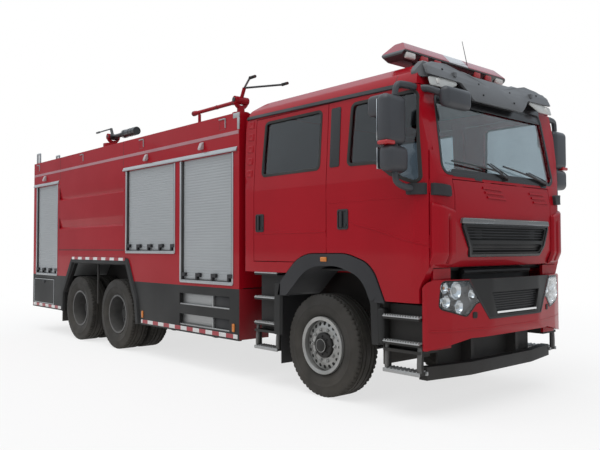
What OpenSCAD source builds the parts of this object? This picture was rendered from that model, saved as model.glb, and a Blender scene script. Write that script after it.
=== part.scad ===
// Six-wheel dry powder and foam fire truck with a crew cab.
// X points forward, Y to the left and Z up; the origin is on the ground under the middle of the truck.

/* [Layout] */
// Front axle to the first rear axle
wheelbase = 4600; // [4500:10:4900]
// First rear axle to the second
bogie_spread = 1400; // [1360:10:1500]
// Front axle to the foremost face of the bumper
front_overhang = 1580; // [1560:5:1640]
// Second rear axle to the back of the ladder
rear_overhang = 2240; // [2230:10:2500]
// Width over the fire body
body_w = 2500; // [2460:10:2540]

/* [Wheels] */
// Outside diameter of a tyre
tyre_d = 1080; // [1040:2:1090]
// Width of a tyre
tyre_w = 310; // [290:2:320]
// Diameter of a rim at the bead seat
rim_d = 572; // [560:2:590]
// Width over the rim flanges
rim_w = 250; // [236:2:260]
// Distance between the middles of the front wheels
front_track = 2060; // [2040:2:2070]
// Distance between the middles of the rear twin wheels
rear_track = 1834; // [1826:2:1840]
// Distance between the two tyres of a twin
twin_pitch = 345; // [335:1:355]
// Radius of the wheel hubs
hub_r = 110; // [100:1:125]
// Radius of the stub axles
stub_r = 45; // [35:1:55]
// Number of holes in a front wheel disc
front_holes = 20; // [10:1:22]
// Number of hand holes in a rear wheel disc
rear_holes = 10; // [6:1:12]

/* [Chassis] */
// Height of the frame rails' top
frame_top = 1080; // [1070:5:1100]
// Height of a frame rail
frame_h = 300; // [260:5:310]
// Width over the frame rails
frame_w = 860; // [840:5:880]
// Kingpin to the middle of the front wheel
kingpin_offset = 185; // [175:1:195]
// Radius of a kingpin
kingpin_r = 25; // [20:1:30]
// Width of a leaf spring
spring_w = 80; // [70:1:90]

/* [Cab] */
// Width of the cab at the doors
cab_w = 2480; // [2460:10:2490]
// Front axle back to the cab's rear wall
cab_back = 1290; // [1280:5:1310]
// Front axle forward to the cab's nose
cab_nose = 1500; // [1490:5:1520]
// Height of the roof
roof_z = 3400; // [3380:5:3420]
// Height of the gutter line over the doors
gutter_z = 3090; // [3085:1:3100]
// Height of the windscreen's lower edge
screen_low_z = 2230; // [2220:2:2250]
// Height of the windscreen's upper edge
screen_top_z = 3050; // [3040:2:3060]
// Underside of the cab floor
cab_base_z = 1290; // [1280:2:1300]
// Thickness of the cab's walls and doors
cab_wall = 70; // [60:1:75]
// Gap round the doors and the flap
door_gap = 8; // [6:1:10]
// Half width of the front flap
flap_half = 870; // [850:5:890]
// Thickness of the front flap
flap_t = 36; // [30:1:40]

/* [Fire body] */
// Front axle back to the body's front wall
body_front = 1360; // [1350:5:1400]
// Second rear axle back to the body's rear wall
body_tail = 2120; // [2080:5:2130]
// Height of the parapet's top
body_top = 3210; // [3190:5:3240]
// Height of the deck inside the parapet
deck_z = 2960; // [2940:5:2980]
// Height of the boundary between the red body and the grey skirt
skirt_top = 1070; // [1065:1:1075]
// Height of the skirt's lower edge
skirt_low = 450; // [430:5:480]
// Thickness of the body's walls
body_wall = 60; // [50:1:70]
// Thickness of the skirt panels
skirt_t = 40; // [30:1:50]
// Height of the shutters' upper edge
shutter_top = 2735; // [2700:5:2760]
// Height of one shutter slat
slat_h = 62; // [50:1:80]
// Width of a shutter's frame
shutter_frame = 30; // [20:1:40]

/* [Monitors] */
// Front axle back to the front monitor's column
monitor_back = 3020; // [2980:10:3080]
// Height of the front monitor's barrel
monitor_z = 3800; // [3780:5:3850]
// Length of the front monitor's barrel
barrel_l = 1320; // [1250:10:1400]
// Second rear axle back to the powder monitor's column
gun_back = 1300; // [1280:10:1340]
// Height of the powder monitor's barrel
gun_z = 3780; // [3760:5:3800]
// Length of the powder monitor's barrel
gun_l = 990; // [940:10:1020]

/* [Hidden] */
$fn = 64;
over = 5;
seat_gap = 0.3;
pin_gap = 0.1;
arc_steps = 6;

overall_length = front_overhang + wheelbase + bogie_spread + rear_overhang;
front_x = overall_length / 2 - front_overhang;
mid_x = front_x - wheelbase;
rear_x = mid_x - bogie_spread;
bogie_x = (mid_x + rear_x) / 2;
wheel_z = tyre_d / 2;
body_half = body_w / 2;
cab_half = cab_w / 2;
body_front_x = front_x - body_front;
body_tail_x = rear_x - body_tail;
cab_back_x = front_x - cab_back;
cab_nose_x = front_x + cab_nose;
kingpin_y = front_track / 2 - kingpin_offset;
rail_y = frame_w / 2;
frame_low = frame_top - frame_h;

red = [0.62, 0.05, 0.09];
anthracite = [0.23, 0.24, 0.26];
black = [0.09, 0.09, 0.1];
alloy = [0.72, 0.73, 0.74];
steel = [0.55, 0.56, 0.58];
tinted = [0.16, 0.19, 0.2];
lamp_clear = [0.86, 0.88, 0.9];

// Unit vector from a to b
function toward(a, b) = (b - a) / norm(b - a);

// Points of one rounded corner b between a and c
function corner(a, b, c, r) =
    let (u = toward(b, a), v = toward(b, c), half = acos(u * v) / 2,
         mid = b + toward([0, 0], u + v) * r / sin(half),
         s = b + u * r / tan(half) - mid, e = b + v * r / tan(half) - mid, w = acos(s * e / (r * r)))
    [for (i = [0 : arc_steps]) mid + (sin((1 - i / arc_steps) * w) * s + sin(i / arc_steps * w) * e) / sin(w)];

// Outline from rows of x, y and corner radius
function rounded(rows) =
    let (n = len(rows), p = [for (q = rows) [q[0], q[1]]])
    [for (i = [0 : n - 1])
        each (rows[i][2] == 0 ? [p[i]] : corner(p[(i + n - 1) % n], p[i], p[(i + 1) % n], rows[i][2]))];

// Rectangle outline with one corner radius
function frame_rows(x0, x1, y0, y1, r) = [[x0, y0, r], [x1, y0, r], [x1, y1, r], [x0, y1, r]];

// Box between two corners
module box(x0, x1, y0, y1, z0, z1) {
    translate([x0, y0, z0]) cube([x1 - x0, y1 - y0, z1 - z0]);
}

// Outline in X and Z, run from y0 to y1
module side_prism(points, y0, y1) {
    translate([0, y1, 0]) rotate([90, 0, 0]) linear_extrude(y1 - y0) polygon(points);
}

// Outline in Y and Z, run from x0 to x1
module front_prism(points, x0, x1) {
    translate([x0, 0, 0]) rotate([90, 0, 90]) linear_extrude(x1 - x0) polygon(points);
}

// Outline in X and Y, run from z0 to z1
module plan_prism(points, z0, z1) {
    translate([0, 0, z0]) linear_extrude(z1 - z0) polygon(points);
}

// Children on the right and mirrored on the left
module both() {
    children();
    mirror([0, 1, 0]) children();
}

// Round bar between two points
module bar(a, b, r) {
    d = b - a;
    translate(a)
        rotate([0, acos(d[2] / norm(d)), atan2(d[1], d[0])])
            cylinder(r = r, h = norm(d));
}

// Wheels, with the outboard side along +Z before they are placed
rim_t = 12;
flange_h = 14;
flange_t = 12;
disc_t = 14;
seat_r = rim_d / 2;
tread_w_share = 0.88;
shoulder_r = 26;
sidewall_r = 60;
widest_share = 0.42;
groove_w = 12;
groove_d = 15;
groove_y_shares = [-0.26, 0, 0.26];
disc_face = 85;
disc_root = 10;
disc_bend_r = 190;
front_hub_in = 70;
front_hub_out = 130;
rear_hub_in = 120;
rear_hub_out = 150;
cap_r = 70;
cap_h = 35;
drum_r = 205;
drum_t = 18;
drum_l = 110;
front_hole_r = 15;
front_hole_ring = 240;
rear_hole_r = 24;
rear_hole_ring = 226;
twin_dish = 24;

function tyre_rows() =
    let (bead = rim_w / 2 - flange_t - seat_gap, lip = seat_r + flange_h + seat_gap,
         widest = seat_r + (tyre_d / 2 - seat_r) * widest_share)
    [[seat_r + seat_gap, -bead, 0], [lip, -bead, 0], [widest, -tyre_w / 2, sidewall_r],
     [tyre_d / 2, -tyre_w / 2 * tread_w_share, shoulder_r], [tyre_d / 2, tyre_w / 2 * tread_w_share, shoulder_r],
     [widest, tyre_w / 2, sidewall_r], [lip, bead, 0], [seat_r + seat_gap, bead, 0]];

module tyre() {
    rotate_extrude($fn = 128) difference() {
        polygon(rounded(tyre_rows()));
        for (share = groove_y_shares)
            translate([tyre_d / 2 - groove_d, tyre_w * share - groove_w / 2])
                square([groove_d + over, groove_w]);
    }
}

// Section of the rim barrel with its two flanges, middle at y
module rim_section(y) {
    translate([seat_r - rim_t, y - rim_w / 2]) square([rim_t, rim_w]);
    for (edge = [y - rim_w / 2, y + rim_w / 2 - flange_t])
        translate([seat_r - rim_t, edge]) square([rim_t + flange_h, flange_t]);
}

module hole_ring(n, ring, r, z0, z1) {
    for (i = [0 : n - 1])
        rotate(i * 360 / n)
            translate([ring, 0, z0]) cylinder(r = r, h = z1 - z0, $fn = 24);
}

module front_rim() {
    bore = stub_r + seat_gap;
    rim_in = seat_r - rim_t / 2;
    difference() {
        rotate_extrude($fn = 128) {
            rim_section(0);
            polygon([[rim_in, disc_root], [rim_in, disc_root + 2 * disc_t], [disc_bend_r, disc_face + disc_t],
                [hub_r - disc_t, disc_face + disc_t], [hub_r - disc_t, disc_face], [disc_bend_r, disc_face]]);
            translate([bore, -front_hub_in]) square([hub_r - bore, front_hub_in + front_hub_out]);
            translate([0, front_hub_out]) square([cap_r, cap_h]);
            translate([hub_r, -drum_t]) square([drum_r - hub_r, drum_t]);
            translate([drum_r - drum_t, -drum_l]) square([drum_t, drum_l]);
        }
        hole_ring(front_holes, front_hole_ring, front_hole_r, 0, disc_face + 2 * disc_t);
    }
}

module twin_rim() {
    bore = stub_r + seat_gap;
    rim_in = seat_r - rim_t / 2;
    root = twin_pitch / 2 - rim_w / 2 + flange_t;
    difference() {
        rotate_extrude($fn = 128) {
            for (face = [-1, 1]) rim_section(face * twin_pitch / 2);
            polygon([[rim_in, root], [rim_in, root + twin_dish], [disc_bend_r, disc_t], [hub_r - disc_t, disc_t],
                [hub_r - disc_t, -disc_t], [disc_bend_r, -disc_t], [rim_in, -root - twin_dish], [rim_in, -root],
                [disc_bend_r + disc_t, 0]]);
            translate([bore, -rear_hub_in]) square([hub_r - bore, rear_hub_in + rear_hub_out]);
            translate([0, rear_hub_out]) square([cap_r, cap_h]);
        }
        hole_ring(rear_holes, rear_hole_ring, rear_hole_r, -twin_pitch, twin_pitch);
    }
}

module twin_tyre() {
    for (face = [-1, 1])
        translate([0, 0, face * twin_pitch / 2]) tyre();
}

module place_wheel(x, track, side) {
    translate([x, side * track / 2, wheel_z]) rotate([-side * 90, 0, 0]) children();
}

// Chassis
web_t = 9;
rail_flange = 85;
rail_nose = 1150;
rail_tail = 80;
cross_l = 90;
cross_h = 160;
cross_drop = 60;
// Cross members, as distances behind the front axle
cross_backs = [-1090, 1250, 2900, wheelbase - 500, wheelbase + bogie_spread / 2, wheelbase + bogie_spread + 600,
    wheelbase + bogie_spread + body_tail - 400];

module chassis_frame() color(black) {
    both() difference() {
        box(body_tail_x + rail_tail, front_x + rail_nose, -rail_y, -rail_y + rail_flange, frame_low, frame_top);
        box(body_tail_x + rail_tail - over, front_x + rail_nose + over, -rail_y + web_t, -rail_y + rail_flange + over,
            frame_low + web_t, frame_top - web_t);
    }
    for (back = cross_backs)
        box(front_x - back - cross_l / 2, front_x - back + cross_l / 2, -rail_y + web_t, rail_y - web_t,
            frame_top - cross_drop - cross_h, frame_top - cross_drop);
}

eye_r = 50;
eye_h = 120;
ear_h = 40;
ear_gap = 1;
beam_w = 110;
beam_h = 110;
beam_drop = 60;
beam_rise_y = 640;
beam_flat_y = 540;
beam_pocket = 30;
beam_lip = 22;
spring_y = rail_y - rail_flange / 2;

function beam_rows(g) =
    let (top = wheel_z - beam_drop + beam_h / 2 - g, low = wheel_z - beam_drop - beam_h / 2 + g,
         end_top = wheel_z + eye_r - g, end_low = wheel_z - eye_r + g)
    [[-kingpin_y, end_low, 0], [-beam_rise_y, end_low, 90], [-beam_flat_y, low, 90], [beam_flat_y, low, 90],
     [beam_rise_y, end_low, 90], [kingpin_y, end_low, 0], [kingpin_y, end_top, 0], [beam_rise_y, end_top, 90],
     [beam_flat_y, top, 90], [-beam_flat_y, top, 90], [-beam_rise_y, end_top, 90], [-kingpin_y, end_top, 0]];

module front_axle() color(black) difference() {
    union() {
        difference() {
            front_prism(rounded(beam_rows(0)), front_x - beam_w / 2, front_x + beam_w / 2);
            intersection() {
                union() {
                    front_prism(rounded(beam_rows(beam_lip)), front_x - beam_w, front_x - beam_w / 2 + beam_pocket);
                    front_prism(rounded(beam_rows(beam_lip)), front_x + beam_w / 2 - beam_pocket, front_x + beam_w);
                }
                box(front_x - beam_w * 2, front_x + beam_w * 2, -kingpin_y + 2 * eye_r, kingpin_y - 2 * eye_r,
                    0, frame_top);
            }
        }
        both() translate([front_x, -kingpin_y, wheel_z - eye_h / 2]) cylinder(r = eye_r, h = eye_h);
    }
    both() translate([front_x, -kingpin_y, wheel_z - eye_h])
        cylinder(r = kingpin_r + pin_gap, h = 2 * eye_h);
}

upright_in = 58;
upright_out = 100;
upright_half = 45;
spindle_end = 110;

// Knuckle on the right, in place
module knuckle() {
    ear_z = eye_h / 2 + ear_gap;
    translate([front_x, -kingpin_y, wheel_z]) {
        for (z = [-ear_z - ear_h, ear_z])
            translate([0, 0, z]) {
                cylinder(r = eye_r, h = ear_h);
                box(-upright_half, upright_half, -upright_out, 0, 0, ear_h);
            }
        box(-upright_half, upright_half, -upright_out, -upright_in, -ear_z - ear_h, ear_z + ear_h);
        translate([0, 0, -ear_z - ear_h]) cylinder(r = kingpin_r, h = 2 * (ear_z + ear_h));
        translate([0, -upright_out, 0]) rotate([90, 0, 0])
            cylinder(r = stub_r, h = kingpin_offset + spindle_end - upright_out);
    }
}

module knuckle_right() color(black) knuckle();
module knuckle_left() color(black) mirror([0, 1, 0]) knuckle();

tube_r = 80;
diff_r = 230;
nose_r = 95;
nose_l = 380;
output_r = 70;
output_l = 300;
pad_l = 120;
pad_top = wheel_z + 100;
pad_lip = 14;
rear_spring_y = rail_y + 75;
rear_stub_end = 140;

module rear_axle(x, output) {
    tube_end = rear_track / 2 - rear_hub_in - over;
    translate([x, 0, wheel_z]) {
        sphere(r = diff_r);
        rotate([90, 0, 0]) cylinder(r = tube_r, h = 2 * tube_end, center = true);
        rotate([90, 0, 0]) cylinder(r = stub_r, h = rear_track + 2 * rear_stub_end, center = true);
        rotate([0, 90, 0]) cylinder(r = nose_r, h = nose_l);
        if (output) rotate([0, -90, 0]) cylinder(r = output_r, h = output_l);
    }
    both() difference() {
        box(x - pad_l / 2, x + pad_l / 2, -rear_spring_y - spring_w / 2, -rear_spring_y + spring_w / 2,
            wheel_z, pad_top + pad_lip);
        rear_leaves(over);
    }
}

module rear_axles() color(black) {
    rear_axle(mid_x, true);
    rear_axle(rear_x, false);
}

leaf_t = 24;
front_leaf_half = 760;
front_camber = 120;
rear_leaf_sag = 60;
rear_leaf_half = bogie_spread / 2 + pad_l / 2;
// Half length of each leaf from the main leaf on, in tenths of the main leaf
front_leaf_tenths = [10, 8, 6];
rear_leaf_tenths = [10, 10, 8, 6];
leaf_steps = 10;
hanger_l = 90;
trunnion_l = 260;
trunnion_low = 480;
saddle_l = 200;

// Leaves of one spring in X and Z: half length, camber at its ends, way up of the pile, tenths of each leaf
module leaf_pile(half, camber, up, tenths) {
    for (i = [0 : len(tenths) - 1]) {
        n = tenths[i];
        low = [for (k = [-n : n]) [k * half / leaf_steps, camber * k * k / (leaf_steps * leaf_steps) + up * i * leaf_t]];
        polygon(concat(low, [for (k = [2 * n : -1 : 0]) low[k] + [0, leaf_t]]));
    }
}

module front_spring() {
    seat = wheel_z - beam_drop + beam_h / 2;
    n = len(front_leaf_tenths);
    y0 = -spring_y - spring_w / 2;
    y1 = -spring_y + spring_w / 2;
    end_z = seat + n * leaf_t + front_camber;
    translate([front_x, y1, seat + (n - 1) * leaf_t]) rotate([90, 0, 0]) linear_extrude(spring_w)
        leaf_pile(front_leaf_half, front_camber, -1, front_leaf_tenths);
    for (x = [front_x - front_leaf_half, front_x + front_leaf_half - hanger_l])
        box(x, x + hanger_l, y0, y1, end_z - 2 * leaf_t, frame_low);
}

// Leaves of a rear spring, wider by g on each side
module rear_leaves(g) {
    translate([bogie_x, -rear_spring_y + spring_w / 2 + g, pad_top + rear_leaf_sag]) rotate([90, 0, 0])
        linear_extrude(spring_w + 2 * g) leaf_pile(rear_leaf_half, -rear_leaf_sag, 1, rear_leaf_tenths);
}

module rear_spring() {
    y0 = -rear_spring_y - spring_w / 2;
    y1 = -rear_spring_y + spring_w / 2;
    low = pad_top + rear_leaf_sag;
    rear_leaves(0);
    box(bogie_x - saddle_l / 2, bogie_x + saddle_l / 2, y0, y1, trunnion_low, low + leaf_t / 2);
    box(bogie_x - trunnion_l / 2, bogie_x + trunnion_l / 2, y1 - over, -rail_y, trunnion_low, frame_low + frame_h / 2);
}

module suspension() color(black) both() {
    front_spring();
    rear_spring();
}

engine_back = 250;
engine_front = 950;
engine_half = 300;
engine_low = 700;
engine_top = cab_base_z - 25;
mount_l = 120;
mount_z0 = 880;
mount_z1 = 960;
gearbox_r = 225;
gearbox_z = 790;
gearbox_back = 900;
flange_r = 90;
flange_l = 60;
yoke_r = 60;
yoke_l = 70;
shaft_r = 48;

module driveline() color(steel) {
    box(front_x - engine_back, front_x + engine_front, -engine_half, engine_half, engine_low, engine_top);
    both() for (x = [front_x + engine_front - 2 * mount_l, front_x - engine_back + mount_l])
        box(x, x + mount_l, -rail_y + web_t, -engine_half + over, mount_z0, mount_z1);
    translate([front_x - gearbox_back, 0, gearbox_z]) rotate([0, 90, 0])
        cylinder(r = gearbox_r, h = gearbox_back - engine_back + over);
    translate([front_x - gearbox_back - flange_l, 0, gearbox_z]) rotate([0, 90, 0])
        cylinder(r = flange_r, h = flange_l + over);
    nose_x = mid_x + nose_l;
    translate([nose_x, 0, wheel_z]) rotate([0, 90, 0]) cylinder(r = yoke_r, h = yoke_l);
    bar([nose_x + yoke_l / 2, 0, wheel_z], [front_x - gearbox_back - flange_l / 2, 0, gearbox_z], shaft_r);
    bar([rear_x + nose_l, 0, wheel_z], [mid_x - output_l, 0, wheel_z], shaft_r);
}

tank_back = 1530;
tank_l = 1230;
tank_low = 500;
tank_top = 1010;
tank_in = 640;
tank_r = 70;
tank_clear = 25;
strap_l = 60;
strap_z0 = 820;
strap_z1 = 980;

module side_tanks() color(alloy) both() {
    x1 = front_x - tank_back;
    y0 = -body_half + skirt_t + tank_clear;
    front_prism(rounded(frame_rows(y0, -tank_in, tank_low, tank_top, tank_r)), x1 - tank_l, x1);
    for (x = [x1 - strap_l * 3, x1 - tank_l + strap_l * 2])
        box(x, x + strap_l, -tank_in - over, -rail_y, strap_z0, strap_z1);
}

under_low = 352;
under_h = 122;
under_half = 1100;
under_end = 1225;
under_bow = 100;
under_t = 90;
under_arm_w = 50;
under_arm_back = 1080;
valance_fwd = 1200;
valance_t = 20;
valance_half = 820;
valance_top = 725;
rear_under_low = 440;
rear_under_h = 110;
rear_under_half = 1060;
rear_under_t = 70;
rear_arm_l = 200;

module underrun_beams() color(black) {
    plan_prism([[front_x + under_end, -under_half], [front_x + under_end + under_t, -under_half],
        [front_x + under_end + under_t + under_bow, -under_half / 2],
        [front_x + under_end + under_t + under_bow, under_half / 2],
        [front_x + under_end + under_t, under_half], [front_x + under_end, under_half],
        [front_x + under_end + under_bow, under_half / 2], [front_x + under_end + under_bow, -under_half / 2]],
        under_low, under_low + under_h);
    both() box(front_x + under_arm_back, front_x + under_end + under_bow + over, -rail_y, -rail_y + under_arm_w,
        under_low + under_h / 2, frame_low);
    box(front_x + valance_fwd, front_x + valance_fwd + valance_t, -valance_half, valance_half,
        under_low + under_h / 2, valance_top);
    box(body_tail_x, body_tail_x + rear_under_t, -rear_under_half, rear_under_half,
        rear_under_low, rear_under_low + rear_under_h);
    both() box(body_tail_x, body_tail_x + rear_arm_l, -rail_y, -rail_y + under_arm_w,
        rear_under_low + rear_under_h / 2, frame_low);
}

jaw_w = 120;
jaw_h = 110;
jaw_l = 110;
jaw_slot = 50;
jaw_bore_r = 20;
jaw_z = 900;
jaw_plate_t = 20;
jaw_plate_half = 170;

// Towing jaw with a vertical pin bore, bolted to the frame's last cross member
module tow_jaw() color(black) {
    back = front_x - cross_backs[6] - cross_l / 2;
    difference() {
        union() {
            box(back - jaw_plate_t, back, -jaw_plate_half, jaw_plate_half, jaw_z - jaw_h / 2, jaw_z + jaw_h / 2);
            box(back - jaw_plate_t - jaw_l, back, -jaw_w / 2, jaw_w / 2, jaw_z - jaw_h / 2, jaw_z + jaw_h / 2);
        }
        box(back - jaw_plate_t - jaw_l - over, back - jaw_plate_t, -jaw_w, jaw_w, jaw_z - jaw_slot / 2,
            jaw_z + jaw_slot / 2);
        translate([back - jaw_plate_t - jaw_l / 2, 0, jaw_z - jaw_h]) cylinder(r = jaw_bore_r, h = 2 * jaw_h);
    }
}

// Front wheel arches
flare_t = 70;
flare_band = 125;
liner_t = 12;
liner_in = 730;
mudflap_back = 650;
mudflap_t = 10;
mudflap_low = 270;
guard_arm_z0 = 900;
guard_arm_z1 = 980;
guard_arm_l = 50;
arch_low = 1040;
// Arch outline beside the front wheel: x from the axle, height and corner radius, grown by g
function arch_rows(g) = [
    [-640 - g, arch_low, 0], [-600 - g, 1185 + g, 100], [-260 - g, 1500 + g, 520], [430 + g, 1505 + g, 600],
    [770 + g, 1400 + g, 340], [930 + g, 1057 + g, 40], [935 + g, arch_low, 0]];
function arch_points(g, low) =
    [for (q = rounded(arch_rows(g))) [front_x + q[0], q[1] == arch_low ? low : q[1]]];

module mudguards() color(black) both() {
    difference() {
        union() {
            side_prism(arch_points(0, arch_low), -body_half, -body_half + flare_t);
            side_prism(arch_points(-flare_band + liner_t, arch_low), -body_half, -liner_in);
        }
        side_prism(arch_points(-flare_band, arch_low - over), -body_half - over, -liner_in + over);
    }
    box(front_x - mudflap_back - mudflap_t, front_x - mudflap_back, -body_half + flare_t, -liner_in, mudflap_low,
        arch_low);
    box(front_x - mudflap_back - mudflap_t, front_x + arch_rows(-flare_band)[0][0] - liner_t / 2,
        -body_half + flare_t, -liner_in, arch_low - liner_t, arch_low + liner_t);
    box(front_x - mudflap_back - mudflap_t, front_x - mudflap_back + guard_arm_l, -liner_in - over, -rail_y,
        guard_arm_z0, guard_arm_z1);
}

// Cab outlines; i is how far the outline is drawn in from the outside
nose_z = 1900;
nose_low_z = 1580;
chin_in = 90;
chin_z = 1380;
screen_low_in = 55;
screen_top_in = 190;
brow_in = 270;
brow_z = 3260;
brow_top_in = 620;
roof_rear_drop = 50;
door_low = 1060;
tumble = 50;
roof_shoulder = 1120;
shoulder_z = 3210;
crown_half = 900;
bow_in = 45;
bow_half = 480;
bow_r = 1200;
corner_r = 240;
rear_r = 60;

function cab_side(i) = rounded([
    [cab_back_x + i, door_low - over - i, 0],
    [cab_back_x + i, roof_z - roof_rear_drop - i, 170],
    [cab_nose_x - brow_top_in, roof_z - i, 900],
    [cab_nose_x - brow_in - i, brow_z - i, 160],
    [cab_nose_x - screen_top_in - i, screen_top_z, 0],
    [cab_nose_x - screen_low_in - i, screen_low_z, 90],
    [cab_nose_x - i, nose_z, 300],
    [cab_nose_x - i, nose_low_z, 200],
    [cab_nose_x - chin_in - i, chin_z, 0],
    [cab_nose_x - chin_in - i, door_low - over - i, 0]]);

function cab_plan(i) = rounded([
    [cab_back_x + i, -cab_half + i, rear_r],
    [cab_nose_x - bow_in - i, -cab_half + i, corner_r - i],
    [cab_nose_x - i, -bow_half, bow_r],
    [cab_nose_x - i, bow_half, bow_r],
    [cab_nose_x - bow_in - i, cab_half - i, corner_r - i],
    [cab_back_x + i, cab_half - i, rear_r]]);

function cab_front_half(i) = [
    [cab_half - i, 0, 0], [cab_half - i, screen_low_z, 600],
    [cab_half - tumble - i, gutter_z, 0], [roof_shoulder - i, shoulder_z - i, 90],
    [crown_half, roof_z - roof_rear_drop - i, 260], [0, roof_z - i, 2500]];
function cab_front(i) =
    let (half = cab_front_half(i), n = len(half))
    rounded(concat(half, [for (k = [n - 2 : -1 : 0]) [-half[k][0], half[k][1], half[k][2]]]));

// Solid of the cab's outside, drawn in by i
module cab_solid(i) {
    intersection() {
        side_prism(cab_side(i), -cab_half, cab_half);
        plan_prism(cab_plan(i), 0, roof_z + over);
        front_prism(cab_front(i), cab_back_x - over, cab_nose_x + over);
    }
}

// Wall of the cab between two depths
module cab_skin(i0, i1) {
    difference() {
        cab_solid(i0);
        cab_solid(i1);
    }
}

// Front of the cab between two depths along X
module nose_skin(d0, d1) {
    difference() {
        translate([-d0, 0, 0]) cab_solid(0);
        translate([-d1, 0, 0]) cab_solid(0);
    }
}

// Doors: edges as distances from the front axle
door_top = gutter_z - 22;
rear_door_back = 1080;
split_x = 140;
front_door_front = 1400;
door_toe = 1325;
door_toe_z = 1190;
rear_door_low = 1415;

// Door outlines in X and Z, drawn in by g
function front_door_points(g) =
    [[front_x + split_x + door_gap / 2 + g, door_top - g], [front_x + split_x + door_gap / 2 + g, door_low + g],
     [front_x + door_toe - g, door_low + g], [front_x + door_toe - g, door_toe_z],
     [front_x + front_door_front - g, chin_z], [front_x + front_door_front - g, door_top - g]];
function rear_door_points(g) =
    [[front_x - rear_door_back + g, door_top - g], [front_x - rear_door_back + g, rear_door_low + g],
     [front_x + split_x - door_gap / 2 - g, rear_door_low + g],
     [front_x + split_x - door_gap / 2 - g, door_top - g]];

// Windows: x from the front axle, height and corner radius
window_top = 3010;
window_low = 2395;
front_window_rows = [[445, window_low, 50], [825, window_low - 10, 120], [1010, 2255, 120], [1290, 2160, 60],
    [1345, 2190, 40], [1310, window_top, 70], [480, window_top, 60]];
rear_window_rows = [[-940, window_low, 50], [25, window_low, 50], [35, window_top, 50], [-905, window_top, 50]];
function window_points(rows) = [for (q = rounded(rows)) [front_x + q[0], q[1]]];
pane_depth = 18;
pane_t = 8;
door_depth = 135;

module door_cut(points) {
    side_prism(points, -cab_half - over, -cab_half + door_depth);
}

// Recess behind a pull handle
handle_w = 130;
handle_h = 190;
handle_deep = 28;
handle_low = 1755;
handle_in = 45;

// A door on the right: outline, window and the place of its handle from the front axle
module door(points, window, handle_x) {
    difference() {
        intersection() {
            cab_skin(0, cab_wall);
            door_cut(points);
        }
        door_cut(window_points(window));
        side_prism(arch_points(door_gap, 0), -cab_half - over, 0);
        translate([front_x + handle_x, 0, 0]) difference() {
            box(0, handle_w, -cab_half - over, -cab_half + handle_deep, handle_low, handle_low + handle_h);
            box(handle_w / 3, handle_w * 2 / 3, -cab_half, -cab_half + 2 * handle_deep, handle_low - over,
                handle_low + handle_h + over);
        }
    }
}

module pane(window) {
    intersection() {
        cab_skin(pane_depth, pane_depth + pane_t);
        door_cut(window_points(window));
    }
}

// Hinge pins in the gaps: radius, length and heights
hinge_r = door_gap / 2 - seat_gap;
hinge_l = 120;
hinge_zs = [1560, 2060];
hinge_web = 3;
hinge_in_share = 1.6;
hinge_front_x = front_x + front_door_front + door_gap / 2;
bow_slope = atan(bow_in / (cab_half - bow_half));
hinge_arc_x = cab_nose_x - bow_in + corner_r * (tan(bow_slope) - 1 / cos(bow_slope));
hinge_rear_x = front_x + split_x;
// Plan corner of the cab: where its outside lies beside the front hinge
corner_x = cab_nose_x - bow_in - corner_r;
hinge_front_y = cab_half - corner_r + sqrt(pow(corner_r, 2) - pow(hinge_front_x - hinge_arc_x, 2))
    - hinge_r * hinge_in_share;
hinge_rear_y = cab_half - hinge_r;

// Pins of the right doors, each with the web that carries it
module hinge_pins() {
    for (z = hinge_zs) {
        translate([hinge_front_x, -hinge_front_y, z]) cylinder(r = hinge_r, h = hinge_l);
        box(hinge_front_x, hinge_front_x + door_gap, -hinge_front_y, -hinge_front_y + 2 * hinge_r, z, z + hinge_l);
        translate([hinge_rear_x, -hinge_rear_y, z]) cylinder(r = hinge_r, h = hinge_l);
        box(hinge_rear_x - hinge_web / 2, hinge_rear_x + hinge_web / 2, -hinge_rear_y,
            -cab_half + cab_wall + door_gap + over, z, z + hinge_l);
    }
}

front_handle_in = 170;
front_handle_x = split_x + door_gap + front_handle_in;
rear_handle_x = -rear_door_back + handle_in;

module door_front_right() color(red) door(front_door_points(0), front_window_rows, front_handle_x);
module door_front_left() color(red) mirror([0, 1, 0]) door(front_door_points(0), front_window_rows, front_handle_x);
module door_rear_right() color(red) door(rear_door_points(0), rear_window_rows, rear_handle_x);
module door_rear_left() color(red) mirror([0, 1, 0]) door(rear_door_points(0), rear_window_rows, rear_handle_x);
module glass_front_right() color(tinted) pane(front_window_rows);
module glass_front_left() color(tinted) mirror([0, 1, 0]) pane(front_window_rows);
module glass_rear_right() color(tinted) pane(rear_window_rows);
module glass_rear_left() color(tinted) mirror([0, 1, 0]) pane(rear_window_rows);

// Windscreen outline in Y and Z
screen_low_half = 1010;
screen_top_half = 960;
screen_r = 90;
screen_gap = 22;
function screen_points() = rounded([[-screen_low_half, screen_low_z + screen_gap, screen_r],
    [screen_low_half, screen_low_z + screen_gap, screen_r],
    [screen_top_half, screen_top_z - screen_gap, screen_r], [-screen_top_half, screen_top_z - screen_gap, screen_r]]);

module screen_cut() {
    front_prism(screen_points(), cab_nose_x - 2 * screen_top_in, cab_nose_x);
}

module cab_glass() color(tinted) intersection() {
    nose_skin(pane_depth, pane_depth + pane_t);
    screen_cut();
}

flap_top = screen_low_z - 35;
flap_low = chin_z + 8;
module flap_cut(g) {
    box(front_x + front_overhang - 2 * screen_top_in, cab_nose_x + over, -flap_half - g, flap_half + g,
        flap_low - 2 * g, flap_top + g);
}
// Flap hinge pins in the gap over the flap, on the outside of the nose
flap_pin_ys = [-300];
flap_pin_z = flap_top + door_gap / 2;
flap_pin_x = cab_nose_x - screen_low_in + screen_low_in * (screen_low_z - flap_pin_z) / (screen_low_z - nose_z)
    - hinge_r;

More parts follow.
